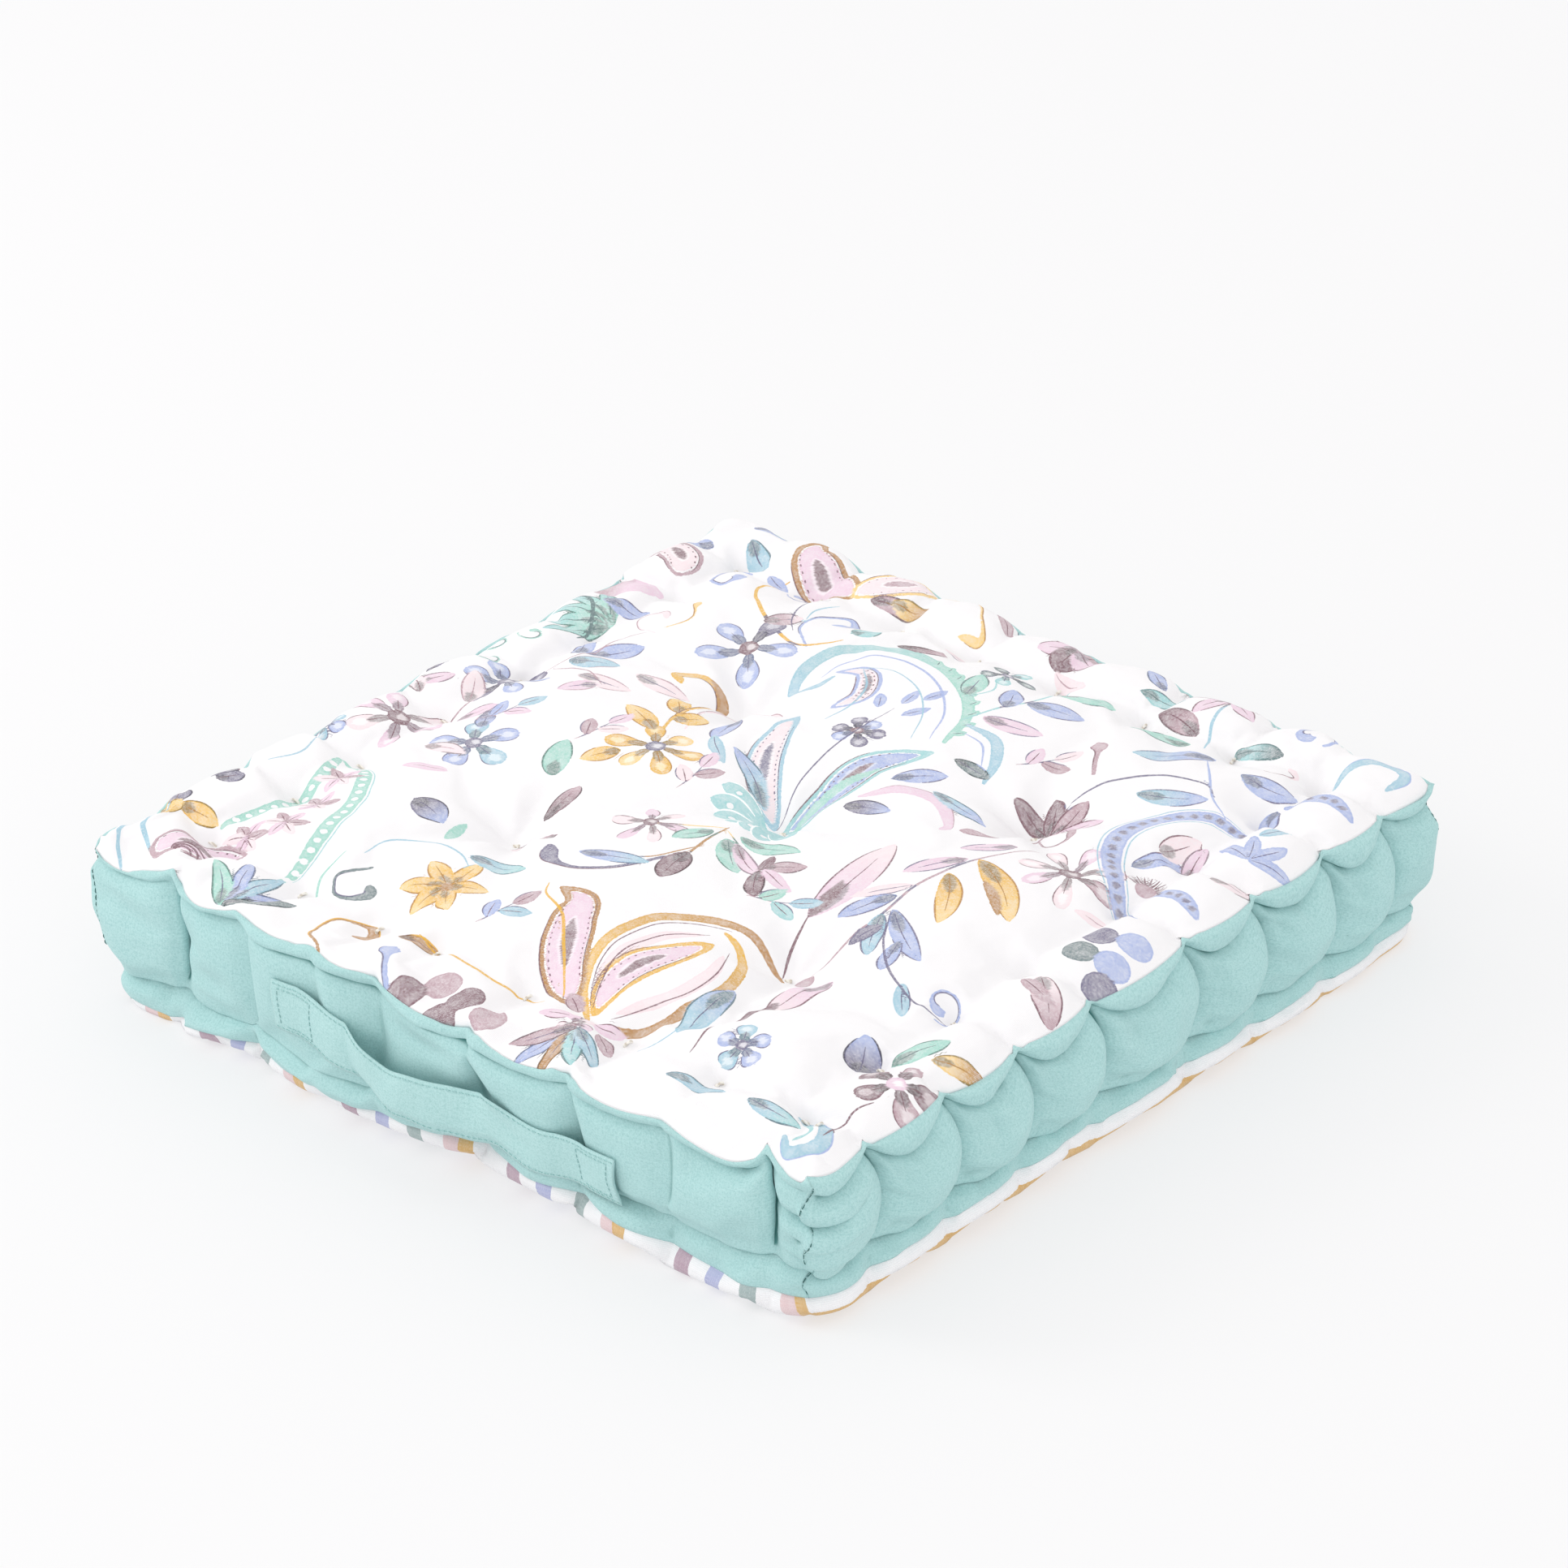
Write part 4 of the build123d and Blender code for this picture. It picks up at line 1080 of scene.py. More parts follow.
# ---------------------------------------------------------------- materials
class Look:
    """A procedural material, built up from its nodes."""

    def __init__(self, name):
        self.material = bpy.data.materials.new(name)
        self.material.use_nodes = True
        self.nodes = self.material.node_tree.nodes
        self.links = self.material.node_tree.links
        self.shader = self.nodes["Principled BSDF"]

    def put(self, socket, value):
        """Links or sets one input; None leaves it as it is."""
        if isinstance(value, bpy.types.NodeSocket):
            self.links.new(value, socket)
        elif value is not None:
            socket.default_value = value

    def node(self, kind, *values, **settings):
        """A new node with these settings, and its inputs filled in their order."""
        node = self.nodes.new("ShaderNode" + kind)
        for name, value in settings.items():
            setattr(node, name, value)
        for socket, value in zip(node.inputs, values):
            self.put(socket, value)
        return node

    def math(self, operation, *values, clamp=False):
        return self.node("Math", *values, operation=operation, use_clamp=clamp).outputs[0]

    def plus(self, a, b):
        return self.math("ADD", a, b)

    def minus(self, a, b):
        return self.math("SUBTRACT", a, b)

    def times(self, a, b):
        return self.math("MULTIPLY", a, b)

    def mix(self, factor, a, b):
        """Colour a, or b where the factor is 1. Sockets 1 to 5 belong to the kinds of mix not used here."""
        unused = (None,) * 5
        node = self.node("Mix", factor, *unused, colour(a), colour(b), data_type="RGBA", clamp_factor=True)
        return node.outputs[2]

    def noise(self, vector, scale, detail=2.0, roughness=0.5):
        """Noise from 0 to 1. The second socket is for noise in time, and stays as it is."""
        return self.node("TexNoise", vector, None, scale, detail, roughness).outputs["Fac"]

    def attribute(self, name):
        return self.node("Attribute", attribute_name=name).outputs["Vector"]

    def split(self, vector):
        return self.node("SeparateXYZ", vector).outputs

    def join(self, x, y, z):
        return self.node("CombineXYZ", x, y, z).outputs[0]

    def ease(self, value, low, high, to_low=0.0, to_high=1.0):
        """The value's smooth step from low to high, as a number between the last two."""
        node = self.node("MapRange", value, low, high, to_low, to_high, interpolation_type="SMOOTHSTEP")
        return node.outputs[0]

    def bump(self, height, distance, strength):
        node = self.node("Bump", strength, distance)
        self.put(node.inputs["Height"], height)
        return node.outputs[0]

    def finish(self, base, roughness, normal, sheen):
        """Sets the shader's inputs and gives the material."""
        self.put(self.shader.inputs["Base Color"], base)
        self.put(self.shader.inputs["Roughness"], roughness)
        self.put(self.shader.inputs["Normal"], normal)
        self.shader.inputs["Specular IOR Level"].default_value = 0.25
        self.shader.inputs["Sheen Weight"].default_value = sheen
        self.shader.inputs["Sheen Roughness"].default_value = 0.5
        return self.material


def colour(value):
    """An sRGB colour as the linear one that a shader takes; anything else as it is."""
    if not isinstance(value, tuple):
        return value
    return (*linear(value), 1.0)


def linear(value):
    """Linear numbers from sRGB ones."""
    value = np.asarray(value, float)
    return np.where(value <= 0.04045, value / 12.92, ((value + 0.055) / 1.055) ** 2.4)


def weave(look, pitch):
    """Plain weave in the cloth's own directions: its height, and how much each thread's shade differs."""
    cloth = look.attribute("cloth")
    u, v, _ = look.split(cloth)
    wander = look.noise(cloth, 0.05, 1.0)
    u = look.math("MULTIPLY_ADD", wander, 1.5, look.math("DIVIDE", u, pitch))
    v = look.math("MULTIPLY_ADD", wander, -1.5, look.math("DIVIDE", v, pitch))
    warp, weft = (look.math("ABSOLUTE", look.math("SINE", look.times(across, math.pi))) for across in (u, v))
    whole_u, whole_v = look.math("FLOOR", u), look.math("FLOOR", v)
    over = look.math("FLOORED_MODULO", look.plus(whole_u, whole_v), 2.0)
    under = look.minus(1.0, over)
    height = look.plus(look.times(warp, over), look.times(weft, under))
    along_warp = look.noise(look.join(look.times(whole_u, 1.7), look.times(v, 0.05), 3.0), 1.0, 1.0)
    along_weft = look.noise(look.join(look.times(u, 0.05), look.times(whole_v, 1.7), 9.0), 1.0, 1.0)
    shade = look.plus(look.times(along_warp, over), look.times(along_weft, under))
    return height, shade, cloth


def linen(name, base, deep, light, pitch=0.72):
    """Plain woven teal cotton: two tones of thread, slubs, soft fuzz and a few dark flecks, with painted
    shade low between the threads and in the sides' hollows.
    """
    look = Look(name)
    height, shade, cloth = weave(look, pitch)
    tone = look.mix(look.ease(shade, 0.15, 0.85, 0.15, 0.85), deep, light)
    # Painted shade: the cloth darkens towards its deep tone low between the threads, where the weave's height
    # is small.
    tone = look.mix(look.ease(height, 0.0, 0.75, 0.6, 0.0), tone, deep)
    tone = look.mix(0.3, tone, base)
    heather = look.noise(cloth, 0.8, 3.0, 0.85)
    tone = look.mix(look.ease(heather, 0.42, 0.62, 0.0, 0.5), tone, light)
    tone = look.mix(look.ease(heather, 0.5, 0.36, 0.0, 0.5), tone, deep)
    fleck = look.ease(look.noise(cloth, 0.55, 1.0, 0.9), 0.80, 0.84, 0.0, 0.7)
    tone = look.mix(fleck, tone, TEAL_FLECK)
    # Painted shade: the teal darkens where a side's cloth lies below the cloth around it, in its hollows and
    # creases.
    hollow, _, _ = look.split(look.attribute("hollow"))
    tone = look.mix(look.ease(hollow, 0.12, 0.8, 0.0, 0.95), tone, TEAL_PAINTED_SHADE)
    fuzz = look.noise(cloth, 2.4, 3.0, 0.7)
    normal = look.bump(look.math("MULTIPLY_ADD", fuzz, 0.35, height), 0.00010, 0.6)
    rough = look.ease(fuzz, 0.3, 0.7, 0.82, 0.95)
    return look.finish(tone, rough, normal, 0.1)


def printed(name):
    """White cotton with the print, stronger at the edges of each shape and broken up by the weave."""
    look = Look(name)
    height, shade, cloth = weave(look, 0.55)
    edge, left, width = look.split(look.attribute("print_shape"))
    left_2, width_2, _ = look.split(look.attribute("print_line"))
    rag = look.minus(look.noise(cloth, 0.42, 4.0, 0.65), 0.5)
    grain = look.noise(cloth, 0.8, 4.0, 0.85)
    wash = look.noise(cloth, 0.16, 3.0, 0.6)
    ragged = look.math("MULTIPLY_ADD", rag, 1.5, edge)
    shape = look.ease(ragged, 0.12, -0.14)
    rim = look.ease(ragged, -1.5, -0.2, 0.0, 1.0)
    strength = look.plus(look.ease(wash, 0.32, 0.66, 0.74, 1.0), look.times(rim, 0.3))
    speckle = look.ease(look.math("MULTIPLY_ADD", height, 0.3, grain), 0.5, 0.7, 0.2, 1.0)
    strength = look.math("MULTIPLY", look.times(strength, speckle), shape, clamp=True)
    # Painted shade: the cotton is darker low between the threads and paler on their crests.
    cotton = look.mix(look.ease(height, 0.0, 0.6), (0.88, 0.88, 0.89), (0.95, 0.947, 0.955))
    cotton = look.mix(look.ease(shade, 0.3, 0.7, 0.0, 0.3), cotton, (0.935, 0.935, 0.945))
    ink = look.attribute("print_ink")
    tone = look.mix(strength, cotton, ink)
    for lateral, half in ((left, width), (left_2, width_2)):
        inside = look.minus(half, look.math("ABSOLUTE", lateral))
        inside = look.math("MULTIPLY_ADD", rag, 0.55, inside)
        drawn = look.times(look.ease(inside, -0.12, 0.12), look.ease(grain, 0.32, 0.52, 0.25, 0.95))
        tone = look.mix(drawn, tone, look.attribute("print_line_ink"))
    normal = look.bump(look.math("MULTIPLY_ADD", grain, 0.4, height), 0.00014, 0.5)
    return look.finish(tone, look.ease(grain, 0.3, 0.7, 0.84, 0.94), normal, 0.12)


UNDYED = (0.94, 0.94, 0.95)
# Where each stripe begins, as a share of the period, and its colour.
STRIPES = (
    (0.0, UNDYED), (0.08, (0.70, 0.60, 0.66)), (0.17, UNDYED), (0.27, (0.68, 0.70, 0.84)), (0.355, UNDYED),
    (0.47, (0.62, 0.69, 0.69)), (0.55, UNDYED), (0.67, (0.88, 0.78, 0.79)), (0.75, (0.84, 0.68, 0.42)),
    (0.82, UNDYED),
)
STRIPE_PERIOD, STRIPE_START = 112.0, 182.5


def striped(name):
    """White cotton with woven stripes along the cushion's Y."""
    look = Look(name)
    height, shade, cloth = weave(look, 0.6)
    u, _, _ = look.split(cloth)
    drift = look.times(look.minus(look.noise(cloth, 0.35, 2.0), 0.5), 1.2)
    across = look.plus(look.plus(u, drift), STRIPE_START)
    place = look.math("FRACT", look.math("DIVIDE", across, STRIPE_PERIOD))
    ramp = look.nodes.new("ShaderNodeValToRGB")
    ramp.color_ramp.interpolation = "CONSTANT"
    stops = ramp.color_ramp.elements
    stops.remove(stops[1])
    for position, tone in STRIPES:
        stop = stops[0] if position == 0 else stops.new(position)
        stop.color = colour(tone)
    look.put(ramp.inputs[0], place)
    # Painted shade: the stripes darken low between the threads.
    tone = look.mix(look.ease(height, 0.0, 0.6, 0.28, 0.0), ramp.outputs[0], (0.72, 0.71, 0.74))
    tone = look.mix(look.ease(shade, 0.3, 0.7, 0.0, 0.15), tone, (1.0, 1.0, 1.0))
    normal = look.bump(height, 0.00018, 0.6)
    return look.finish(tone, look.ease(shade, 0.2, 0.8, 0.84, 0.94), normal, 0.12)


def thread_look(name, dark, light, ply):
    """Twisted thread: two plies wound round each other, with painted shade in the slanting grooves between
    them.
    """
    look = Look(name)
    place = look.node("TexCoord").outputs["Object"]
    x, y, z = look.split(place)
    slant = look.math("SINE", look.times(look.plus(look.plus(x, y), look.times(z, 1.7)), ply * 2))
    fibre = look.noise(place, ply, 3.0, 0.7)
    # Painted shade: the thread darkens where its bump is low, in the grooves between the plies.
    tone = look.mix(look.ease(look.math("MULTIPLY_ADD", fibre, 0.8, slant), -0.6, 1.0), dark, light)
    normal = look.bump(look.math("MULTIPLY_ADD", fibre, 0.5, slant), 0.0001, 0.6)
    return look.finish(tone, look.ease(fibre, 0.3, 0.7, 0.7, 0.9), normal, 0.2)


def wadding_look(name):
    """Loose cotton wadding: soft clumps of fibre with painted shade in the hollows between them, and a few
    seed flecks.
    """
    look = Look(name)
    place = look.node("TexCoord").outputs["Object"]
    clumps = look.noise(place, 55.0, 5.0, 0.6)
    fibres = look.noise(place, 480.0, 4.0, 0.75)
    # Painted shade: darker where the clumps, which the bump also raises, are low.
    tone = look.mix(look.ease(clumps, 0.3, 0.65), (0.80, 0.78, 0.73), (0.94, 0.93, 0.90))
    tone = look.mix(look.ease(look.noise(place, 260.0, 0.0), 0.78, 0.82, 0.0, 0.6), tone, (0.55, 0.46, 0.36))
    normal = look.bump(look.math("MULTIPLY_ADD", fibres, 0.25, clumps), 0.003, 0.7)
    return look.finish(tone, look.ease(fibres, 0.3, 0.7, 0.9, 0.98), normal, 0.4)


# The dark flecks of the thread, then the colour of the painted shade laid into the sides' hollows and
# creases.
TEAL_FLECK, TEAL_PAINTED_SHADE = (0.30, 0.42, 0.40), (0.25, 0.48, 0.47)
side_linen = linen("side_linen", (0.675, 0.83, 0.83), (0.575, 0.75, 0.75), (0.735, 0.87, 0.87))
strap_linen = linen("strap_linen", (0.69, 0.84, 0.84), (0.59, 0.765, 0.76), (0.75, 0.88, 0.88), 0.66)
printed_cotton = printed("printed_cotton")
striped_cotton = striped("striped_cotton")
sewing_thread = thread_look("sewing_thread", (0.54, 0.72, 0.715), (0.66, 0.81, 0.805), 1500.0)
seam_thread = thread_look("seam_thread", (0.16, 0.34, 0.33), (0.30, 0.50, 0.49), 1500.0)
tufting_cord = thread_look("tufting_cord", (0.80, 0.77, 0.72), (0.93, 0.92, 0.89), 700.0)
cotton_wadding = wadding_look("cotton_wadding")

# ---------------------------------------------------------------- the six panels
seam = cover.wall


def soft_piece(obj, material, nodes, body="cushion"):
    """Puts a piece on its body, in place of CAD nodes, with its material."""
    obj.data.materials.append(material)
    if body:
        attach(obj, body)
    if nodes:
        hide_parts(*nodes)
    return obj


def make_top():
    """The printed top panel."""
    grid = finer(cover.points[cover.top], FINE)
    line = np.linspace(-HALF, HALF, grid.shape[0])
    grid = finish_panel(grid, 1, (line[1] - line[0],) * 2, 11)
    grid = turn_in(grid)
    obj = grid_object("top_cloth", grid)
    pattern = Print(line)
    for paint in (paint_middle, paint_ochre, paint_right, paint_left, paint_border):
        paint(pattern)
    wide = lambda values: np.pad(values, ((1, 1), (1, 1)) + ((0, 0),) * (values.ndim - 2), mode="edge")
    first, second = pattern.strokes
    give(obj, "print_shape", wide(np.dstack([pattern.edge, first])))
    give(obj, "print_line", wide(np.dstack([second, np.zeros_like(pattern.edge)])))
    give(obj, "print_ink", linear(wide(pattern.ink)))
    give(obj, "print_line_ink", linear(wide(pattern.stroke_ink)))
    line = np.pad(line, 1, mode="edge")
    lay_cloth(obj, line, line)
    return soft_piece(obj, printed_cotton, ["top_panel"])


def make_bottom():
    """The striped bottom panel."""
    grid = finer(cover.points[cover.bottom], 2)
    line = np.linspace(-HALF, HALF, grid.shape[0])
    grid = finish_panel(grid, -1, (line[1] - line[0],) * 2, 21)
    grid[..., 2] = np.maximum(grid[..., 2], 0.2)
    grid = turn_in(grid)
    obj = grid_object("bottom_cloth", grid, flipped=True)
    line = np.pad(line, 1, mode="edge")
    lay_cloth(obj, line, line)
    return soft_piece(obj, striped_cotton, ["bottom_panel"])


def overlap(distance, before, after):
    """A fold's profile: steep on the near side of its line and gentle on the far side."""
    return bell(distance, np.where(distance < 0, before, after))


def fold(grid, side):
    """Lays a side's cloth over itself at its grooves and creases, too sharp for the simulation."""
    rows, columns = grid.shape[:2]
    row = np.arange(rows)[:, None] / FINE
    along = np.linspace(-HALF, HALF, columns)[None, :]
    rim = Rim(np.clip(side * EDGE + HALF + along, side * EDGE, (side + 1) * EDGE - 0.01))
    flat = outward(grid[..., 0], grid[..., 1], 40)
    out = np.dstack([flat, np.zeros((rows, columns))])
    sideways = np.append(ALONG[side], 0)
    down = np.array([0, 0, -1])
    free = np.clip((HALF - np.abs(along)) / 12, 0, 1)
    height = (row - LIP_ROW) / (CREASE_ROW - LIP_ROW)
    between = np.clip(np.sin(np.pi * np.clip(height + 0.1, 0, 1)), 0, 1) ** 0.5
    lean = 1 if LEAN[side] > 0 else -1
    for at, top_pull, low_pull in zip(STITCHES[side], PULL[side], PULL_LOW[side]):
        pull = np.clip(top_pull + (low_pull - top_pull) * np.clip(height, 0, 1) ** 0.7, 0, 1)
        distance = (along - at) * lean
        strength = pull ** (2 if side == 0 else 1) * between * free
        grid = grid - out * (FOLD * strength * overlap(distance, 1.5, 6))[..., None]
        grid = grid + sideways * lean * (2.2 * strength * overlap(distance + 1.2, 5, 0.8))[..., None]
    down_mm = (row - LIP_ROW) * ROW_HEIGHT
    lip = LIP_FOLD[side] * np.clip(rim.arch, 0.2, 1) * free
    grid = grid - out * (lip * overlap(down_mm - 0.5, 1.2, 5))[..., None]
    grid = grid + down * (0.6 * lip * overlap(down_mm + 1.5, 4, 1))[..., None]
    from_corner = np.abs(np.abs(rim.front_corner) + 0 * row)
    for tuck_row, deep, long in ((9.0, 4.0, 24), (13.4, 1.8, 16), (17.2, 1.5, 20)):
        tuck = deep * bell(from_corner, long) * (side < 2)
        tuck_mm = (row - tuck_row) * 3.2 + from_corner * 0.12
        grid = grid - out * (tuck * overlap(tuck_mm, 1.0, 4))[..., None]
        grid = grid + down * (0.5 * tuck * overlap(tuck_mm + 1.4, 4, 1))[..., None]
    down_mm = (row - CREASE_ROW) * ROW_HEIGHT
    crease = CREASE_FOLD[side] * (1 - 0.75 * rim.behind_strap) * (0.4 + 0.6 * free)
    grid = grid - out * (crease * overlap(down_mm - 0.5, 1.3, 6))[..., None]
    grid = grid + down * (0.8 * crease * overlap(down_mm + 1.6, 5, 1))[..., None]
    return grid


ROW_HEIGHT = 3.6     # mm from one simulated row of a side to the next
FOLD = 4.2           # how deep the grooves between the puffs are folded
# How deep each side is folded under its top roll and over its bottom roll.
LIP_FOLD = (1.8, 5.4, 4.4, 3.4)
CREASE_FOLD = (3.0, 5.0, 4.4, 4.0)
SIDE_CLOTH = 92      # mm of cloth down a side
IRONING = 24         # rounds of smoothing that take the simulation's wrinkles out of a side
CLOTH_APART = 700    # mm between one side's cloth and the next's, so that their threads differ


def make_side(side):
    """One boxed side."""
    coarse = cover.points[closed(seam)[:, side * CELLS : side * CELLS + CELLS + 1]]
    fine = finer(coarse, FINE)
    grid = fold(0.25 * fine + 0.75 * relaxed(fine, IRONING), side)
    pitch = (SIDE_CLOTH / (grid.shape[0] - 1), EDGE / (grid.shape[1] - 1))
    grid = finish_panel(grid, 1, pitch, 31 + 2 * side)
    # How deep each point lies in a hollow, which the material darkens as painted shade.
    hollow = np.pad(hollows(grid), 1)
    grid = turn_in(grid)
    obj = grid_object(f"{SIDES[side]}_side_cloth", grid)
    down = np.pad(np.arange(grid.shape[0] - 2) * pitch[0], 1, mode="edge")
    along = np.pad(np.arange(grid.shape[1] - 2) * pitch[1], 1, mode="edge") + side * CLOTH_APART
    lay_cloth(obj, down, along, True)
    give(obj, "hollow", np.dstack([hollow, hollow, hollow]))
    return soft_piece(obj, side_linen, [f"{SIDES[side]}_side_panel"])


make_top()
make_bottom()
for side in range(4):
    make_side(side)


# ---------------------------------------------------------------- the wadding inside
def lowest_around(values, reach, wraps=False):
    """The least of each value and its neighbours."""
    for axis in range(values.ndim):
        mode = "wrap" if wraps and axis == values.ndim - 1 else "edge"
        width = [(0, 0)] * values.ndim
        width[axis] = (reach, reach)
        padded = np.pad(values, width, mode=mode)
        size = values.shape[axis]
        values = np.min([padded.take(range(i, i + size), axis) for i in range(2 * reach + 1)], axis=0)
    return values


WADDING_CLEAR = 8.0  # mm between the wadding and the cloth of the sides
WADDING_STEP = 2     # simulated quads to each quad of a wadding layer
WADDING_ROWS = 8     # quads down the side of a layer
WADDING_CORNER = 24  # radius of its corners
WADDING_LOW, WADDING_HIGH = 14, 84     # heights between which a layer's faces take the cover's outline
LAYERS = ("lower_wadding_layer", "middle_wadding_layer", "upper_wadding_layer")


class Inside:
    """How much room the stuffed cover leaves at each height."""

    def __init__(self):
        self.place = np.arange(0, 4 * CELLS, WADDING_STEP) * EDGE / CELLS
        side = (self.place // EDGE).astype(int)
        along = self.place % EDGE - HALF
        square = ALONG[side] * along[:, None] + OUTWARD[side] * HALF
        x, y = round_corners(square[:, 0], square[:, 1], WADDING_CORNER)
        self.rim = np.stack([x, y], 1)
        self.normal = outward(x, y, WADDING_CORNER)
        wall = cover.points[seam[:, ::WADDING_STEP]]
        stand = ((wall[..., :2] - self.rim) * self.normal).sum(-1)
        self.stand = lowest_around(stand, 2, wraps=True)
        self.height = np.minimum.accumulate(wall[..., 2], axis=0)
        self.over = lowest_around(cover.points[cover.top][..., 2], 2)
        self.under = -lowest_around(-cover.points[cover.bottom][..., 2], 2)

    def outline(self, heights):
        """The rim of a layer where it has these heights."""
        stand = [
            np.interp(-height, -self.height[:, i], self.stand[:, i]) for i, height in enumerate(heights)
        ]
        return self.rim + self.normal * (np.array(stand) - WADDING_CLEAR)[:, None]

    def face(self, surface, x, y):
        """The height of an inner face of the cover at points of the plan."""
        i = np.clip(np.rint((x / HALF + 1) / 2 * CELLS).astype(int), 0, CELLS)
        j = np.clip(np.rint((y / HALF + 1) / 2 * CELLS).astype(int), 0, CELLS)
        return surface[i, j]


def make_wadding(inside, name, number):
    """One layer of wadding: a lumpy slab that fills the cover between two heights of the CAD."""
    low, high = (corner.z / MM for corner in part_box(name))
    n, rows = CELLS // WADDING_STEP, WADDING_ROWS
    line = np.linspace(-HALF, HALF, n + 1)
    gx, gy = np.meshgrid(line, line, indexing="ij")
    scale = np.maximum(np.abs(gx), np.abs(gy)) / HALF
    spread = 1 / np.maximum(scale, 1e-6)
    place = rim_place(gx * spread, gy * spread) % (4 * EDGE)
    column = np.rint(place / EDGE * n).astype(int) % (4 * n)
    upper, lower, wall = box_ids(n, rows)
    points = np.zeros((wall.max() + 1, 3))
    lumps = ripples(gx.shape, 5, 90 + number) * 1.2
    for ids, level, surface, away in ((upper, high, inside.over, -4.5), (lower, low, inside.under, 2.0)):
        flat = inside.outline(np.full(4 * n, np.clip(level, WADDING_LOW, WADDING_HIGH)))
        x, y = flat[column, 0] * scale, flat[column, 1] * scale
        room = inside.face(surface, x, y) + away
        z = np.minimum(room, level - 0.4) if away < 0 else np.maximum(room, level + 0.4)
        z = z - np.abs(lumps) if away < 0 else z + np.abs(lumps) * 0.4
        points[ids.ravel()] = np.stack([x, y, z], -1).reshape(-1, 3)
    top, bottom = points[wall[0]], points[wall[-1]]
    for row in range(1, rows):
        share = row / rows
        height = top[:, 2] * (1 - share) + bottom[:, 2] * share
        flat = inside.outline(height)
        bulge = 1.6 * np.sin(np.pi * share) * inside.normal
        points[wall[row]] = np.column_stack([flat + bulge, height])
    faces = np.concatenate([quads(upper), quads(lower, True), quads(closed(wall))])
    obj = new_mesh(name.replace("_layer", ""), points, faces.tolist())
    soft_piece(obj, cotton_wadding, [name])


inside = Inside()
for number, layer in enumerate(LAYERS):
    make_wadding(inside, layer, number)


# ---------------------------------------------------------------- cords and threads
CORD_RADIUS, THREAD_RADIUS = 0.8, 0.28
THREAD_FORM = (6, 0.12)     # sides of a thread's tube, and how far its plies stand out
TWIST = 2.6                 # how slowly the plies turn round each other, over the cord's radius
# Each kind of stitch: its length, the gap to the next, and how far it lifts off the cloth.
CORNER_STITCH, HEM_STITCH, TAB_STITCH = (2.6, 1.1, 0.15), (2.5, 0.9, 0.2), (2.4, 0.9, 0.2)


def distance_along(path):
    """How far along a path each of its points lies."""
    return np.concatenate([[0], np.cumsum(np.linalg.norm(np.diff(path, axis=0), axis=1))])


def tube(path, radius, sides=8, plies=0.16, endless=False):
    """Points and quads of a twisted cord of two plies along a path of close points."""
    path = np.asarray(path, float)
    if endless:
        ahead = np.roll(path, -1, 0) - np.roll(path, 1, 0)
    else:
        ahead = np.gradient(path, axis=0)
    ahead = unit(ahead)
    guide = np.array([0.31, 0.22, 0.92])
    side = unit(np.cross(ahead, guide))
    up = np.cross(side, ahead)
    run = distance_along(path)
    turn = 2 * np.pi * np.arange(sides) / sides
    lobes = 1 + plies * np.cos(2 * (turn[None] - run[:, None] / (radius * TWIST)))
    ring = side[:, None] * np.cos(turn)[None, :, None] + up[:, None] * np.sin(turn)[None, :, None]
    points = path[:, None] + radius * lobes[..., None] * ring
    ids = np.arange(len(path) * sides).reshape(len(path), sides)
    ids = closed(ids)
    if endless:
        ids = np.vstack([ids, ids[:1]])
    faces = quads(ids, True).tolist()
    if not endless:
        faces += [ids[0, :-1][::-1].tolist(), ids[-1, :-1].tolist()]
    return points.reshape(-1, 3), faces


def cord_piece(name, tubes, material, nodes, body="cushion"):
    """One piece made of several lengths of cord or thread."""
    points, faces, count = [], [], 0
    for new_points, new_faces in tubes:
        points.append(new_points)
        faces += [[i + count for i in face] for face in new_faces]
        count += len(new_points)
    obj = new_mesh(name, np.vstack(points), faces)
    obj.data.validate()
    return soft_piece(obj, material, nodes, body)


def stitches(path, long, gap, lift, out):
    """Separate stitches along a path, each a short thread that dips in at its ends."""
    run = distance_along(path)
    made = []
    for at in np.arange(gap, run[-1] - long, long + gap):
        share = np.linspace(0, 1, 7)
        places = at + share * long
        points = np.stack([np.interp(places, run, path[:, i]) for i in range(3)], 1)
        rise = (np.sin(np.pi * share) ** 0.5 * (THREAD_RADIUS + lift) - THREAD_RADIUS * 0.6)[:, None]
        normal = np.stack([np.interp(places, run, out[:, i]) for i in range(3)], 1)
        made.append(tube(points + normal * rise, THREAD_RADIUS, *THREAD_FORM))
    return made


def face_point(ids, x, y):
    """The point of an upper or lower face at a place of the plan."""
    i, j = (int(round((value / HALF + 1) / 2 * CELLS)) for value in (x, y))
    return cover.points[ids[i, j]]


def roll_stitch(side, along, ids, row, up):
    """A cord from its dimple on a face to its pinch in the side, with a short stitch at each end."""
    out = np.append(OUTWARD[side], 0)
    spot = ALONG[side] * along + OUTWARD[side] * (HALF - ROLL)
    dimple = face_point(ids, *spot)
    column = (side * CELLS + int(round((along + HALF) / EDGE * CELLS))) % (4 * CELLS)
    pinch = cover.points[seam[row, column]]
    rise = np.array([0, 0, up])
    route = through(
        dimple - 3.5 * out - 1.5 * rise, dimple - 2.2 * out + 0.5 * rise, dimple + 0.9 * rise,
        dimple + 2.2 * out + 0.4 * rise, dimple + 4 * out - 2.5 * rise, (dimple + pinch) / 2 - 3 * rise,
        pinch - 6 * out, pinch - 3.4 * out + rise, pinch - 3 * out, pinch - 4 * out - 2 * rise,
    )
    return tube(route, CORD_RADIUS)


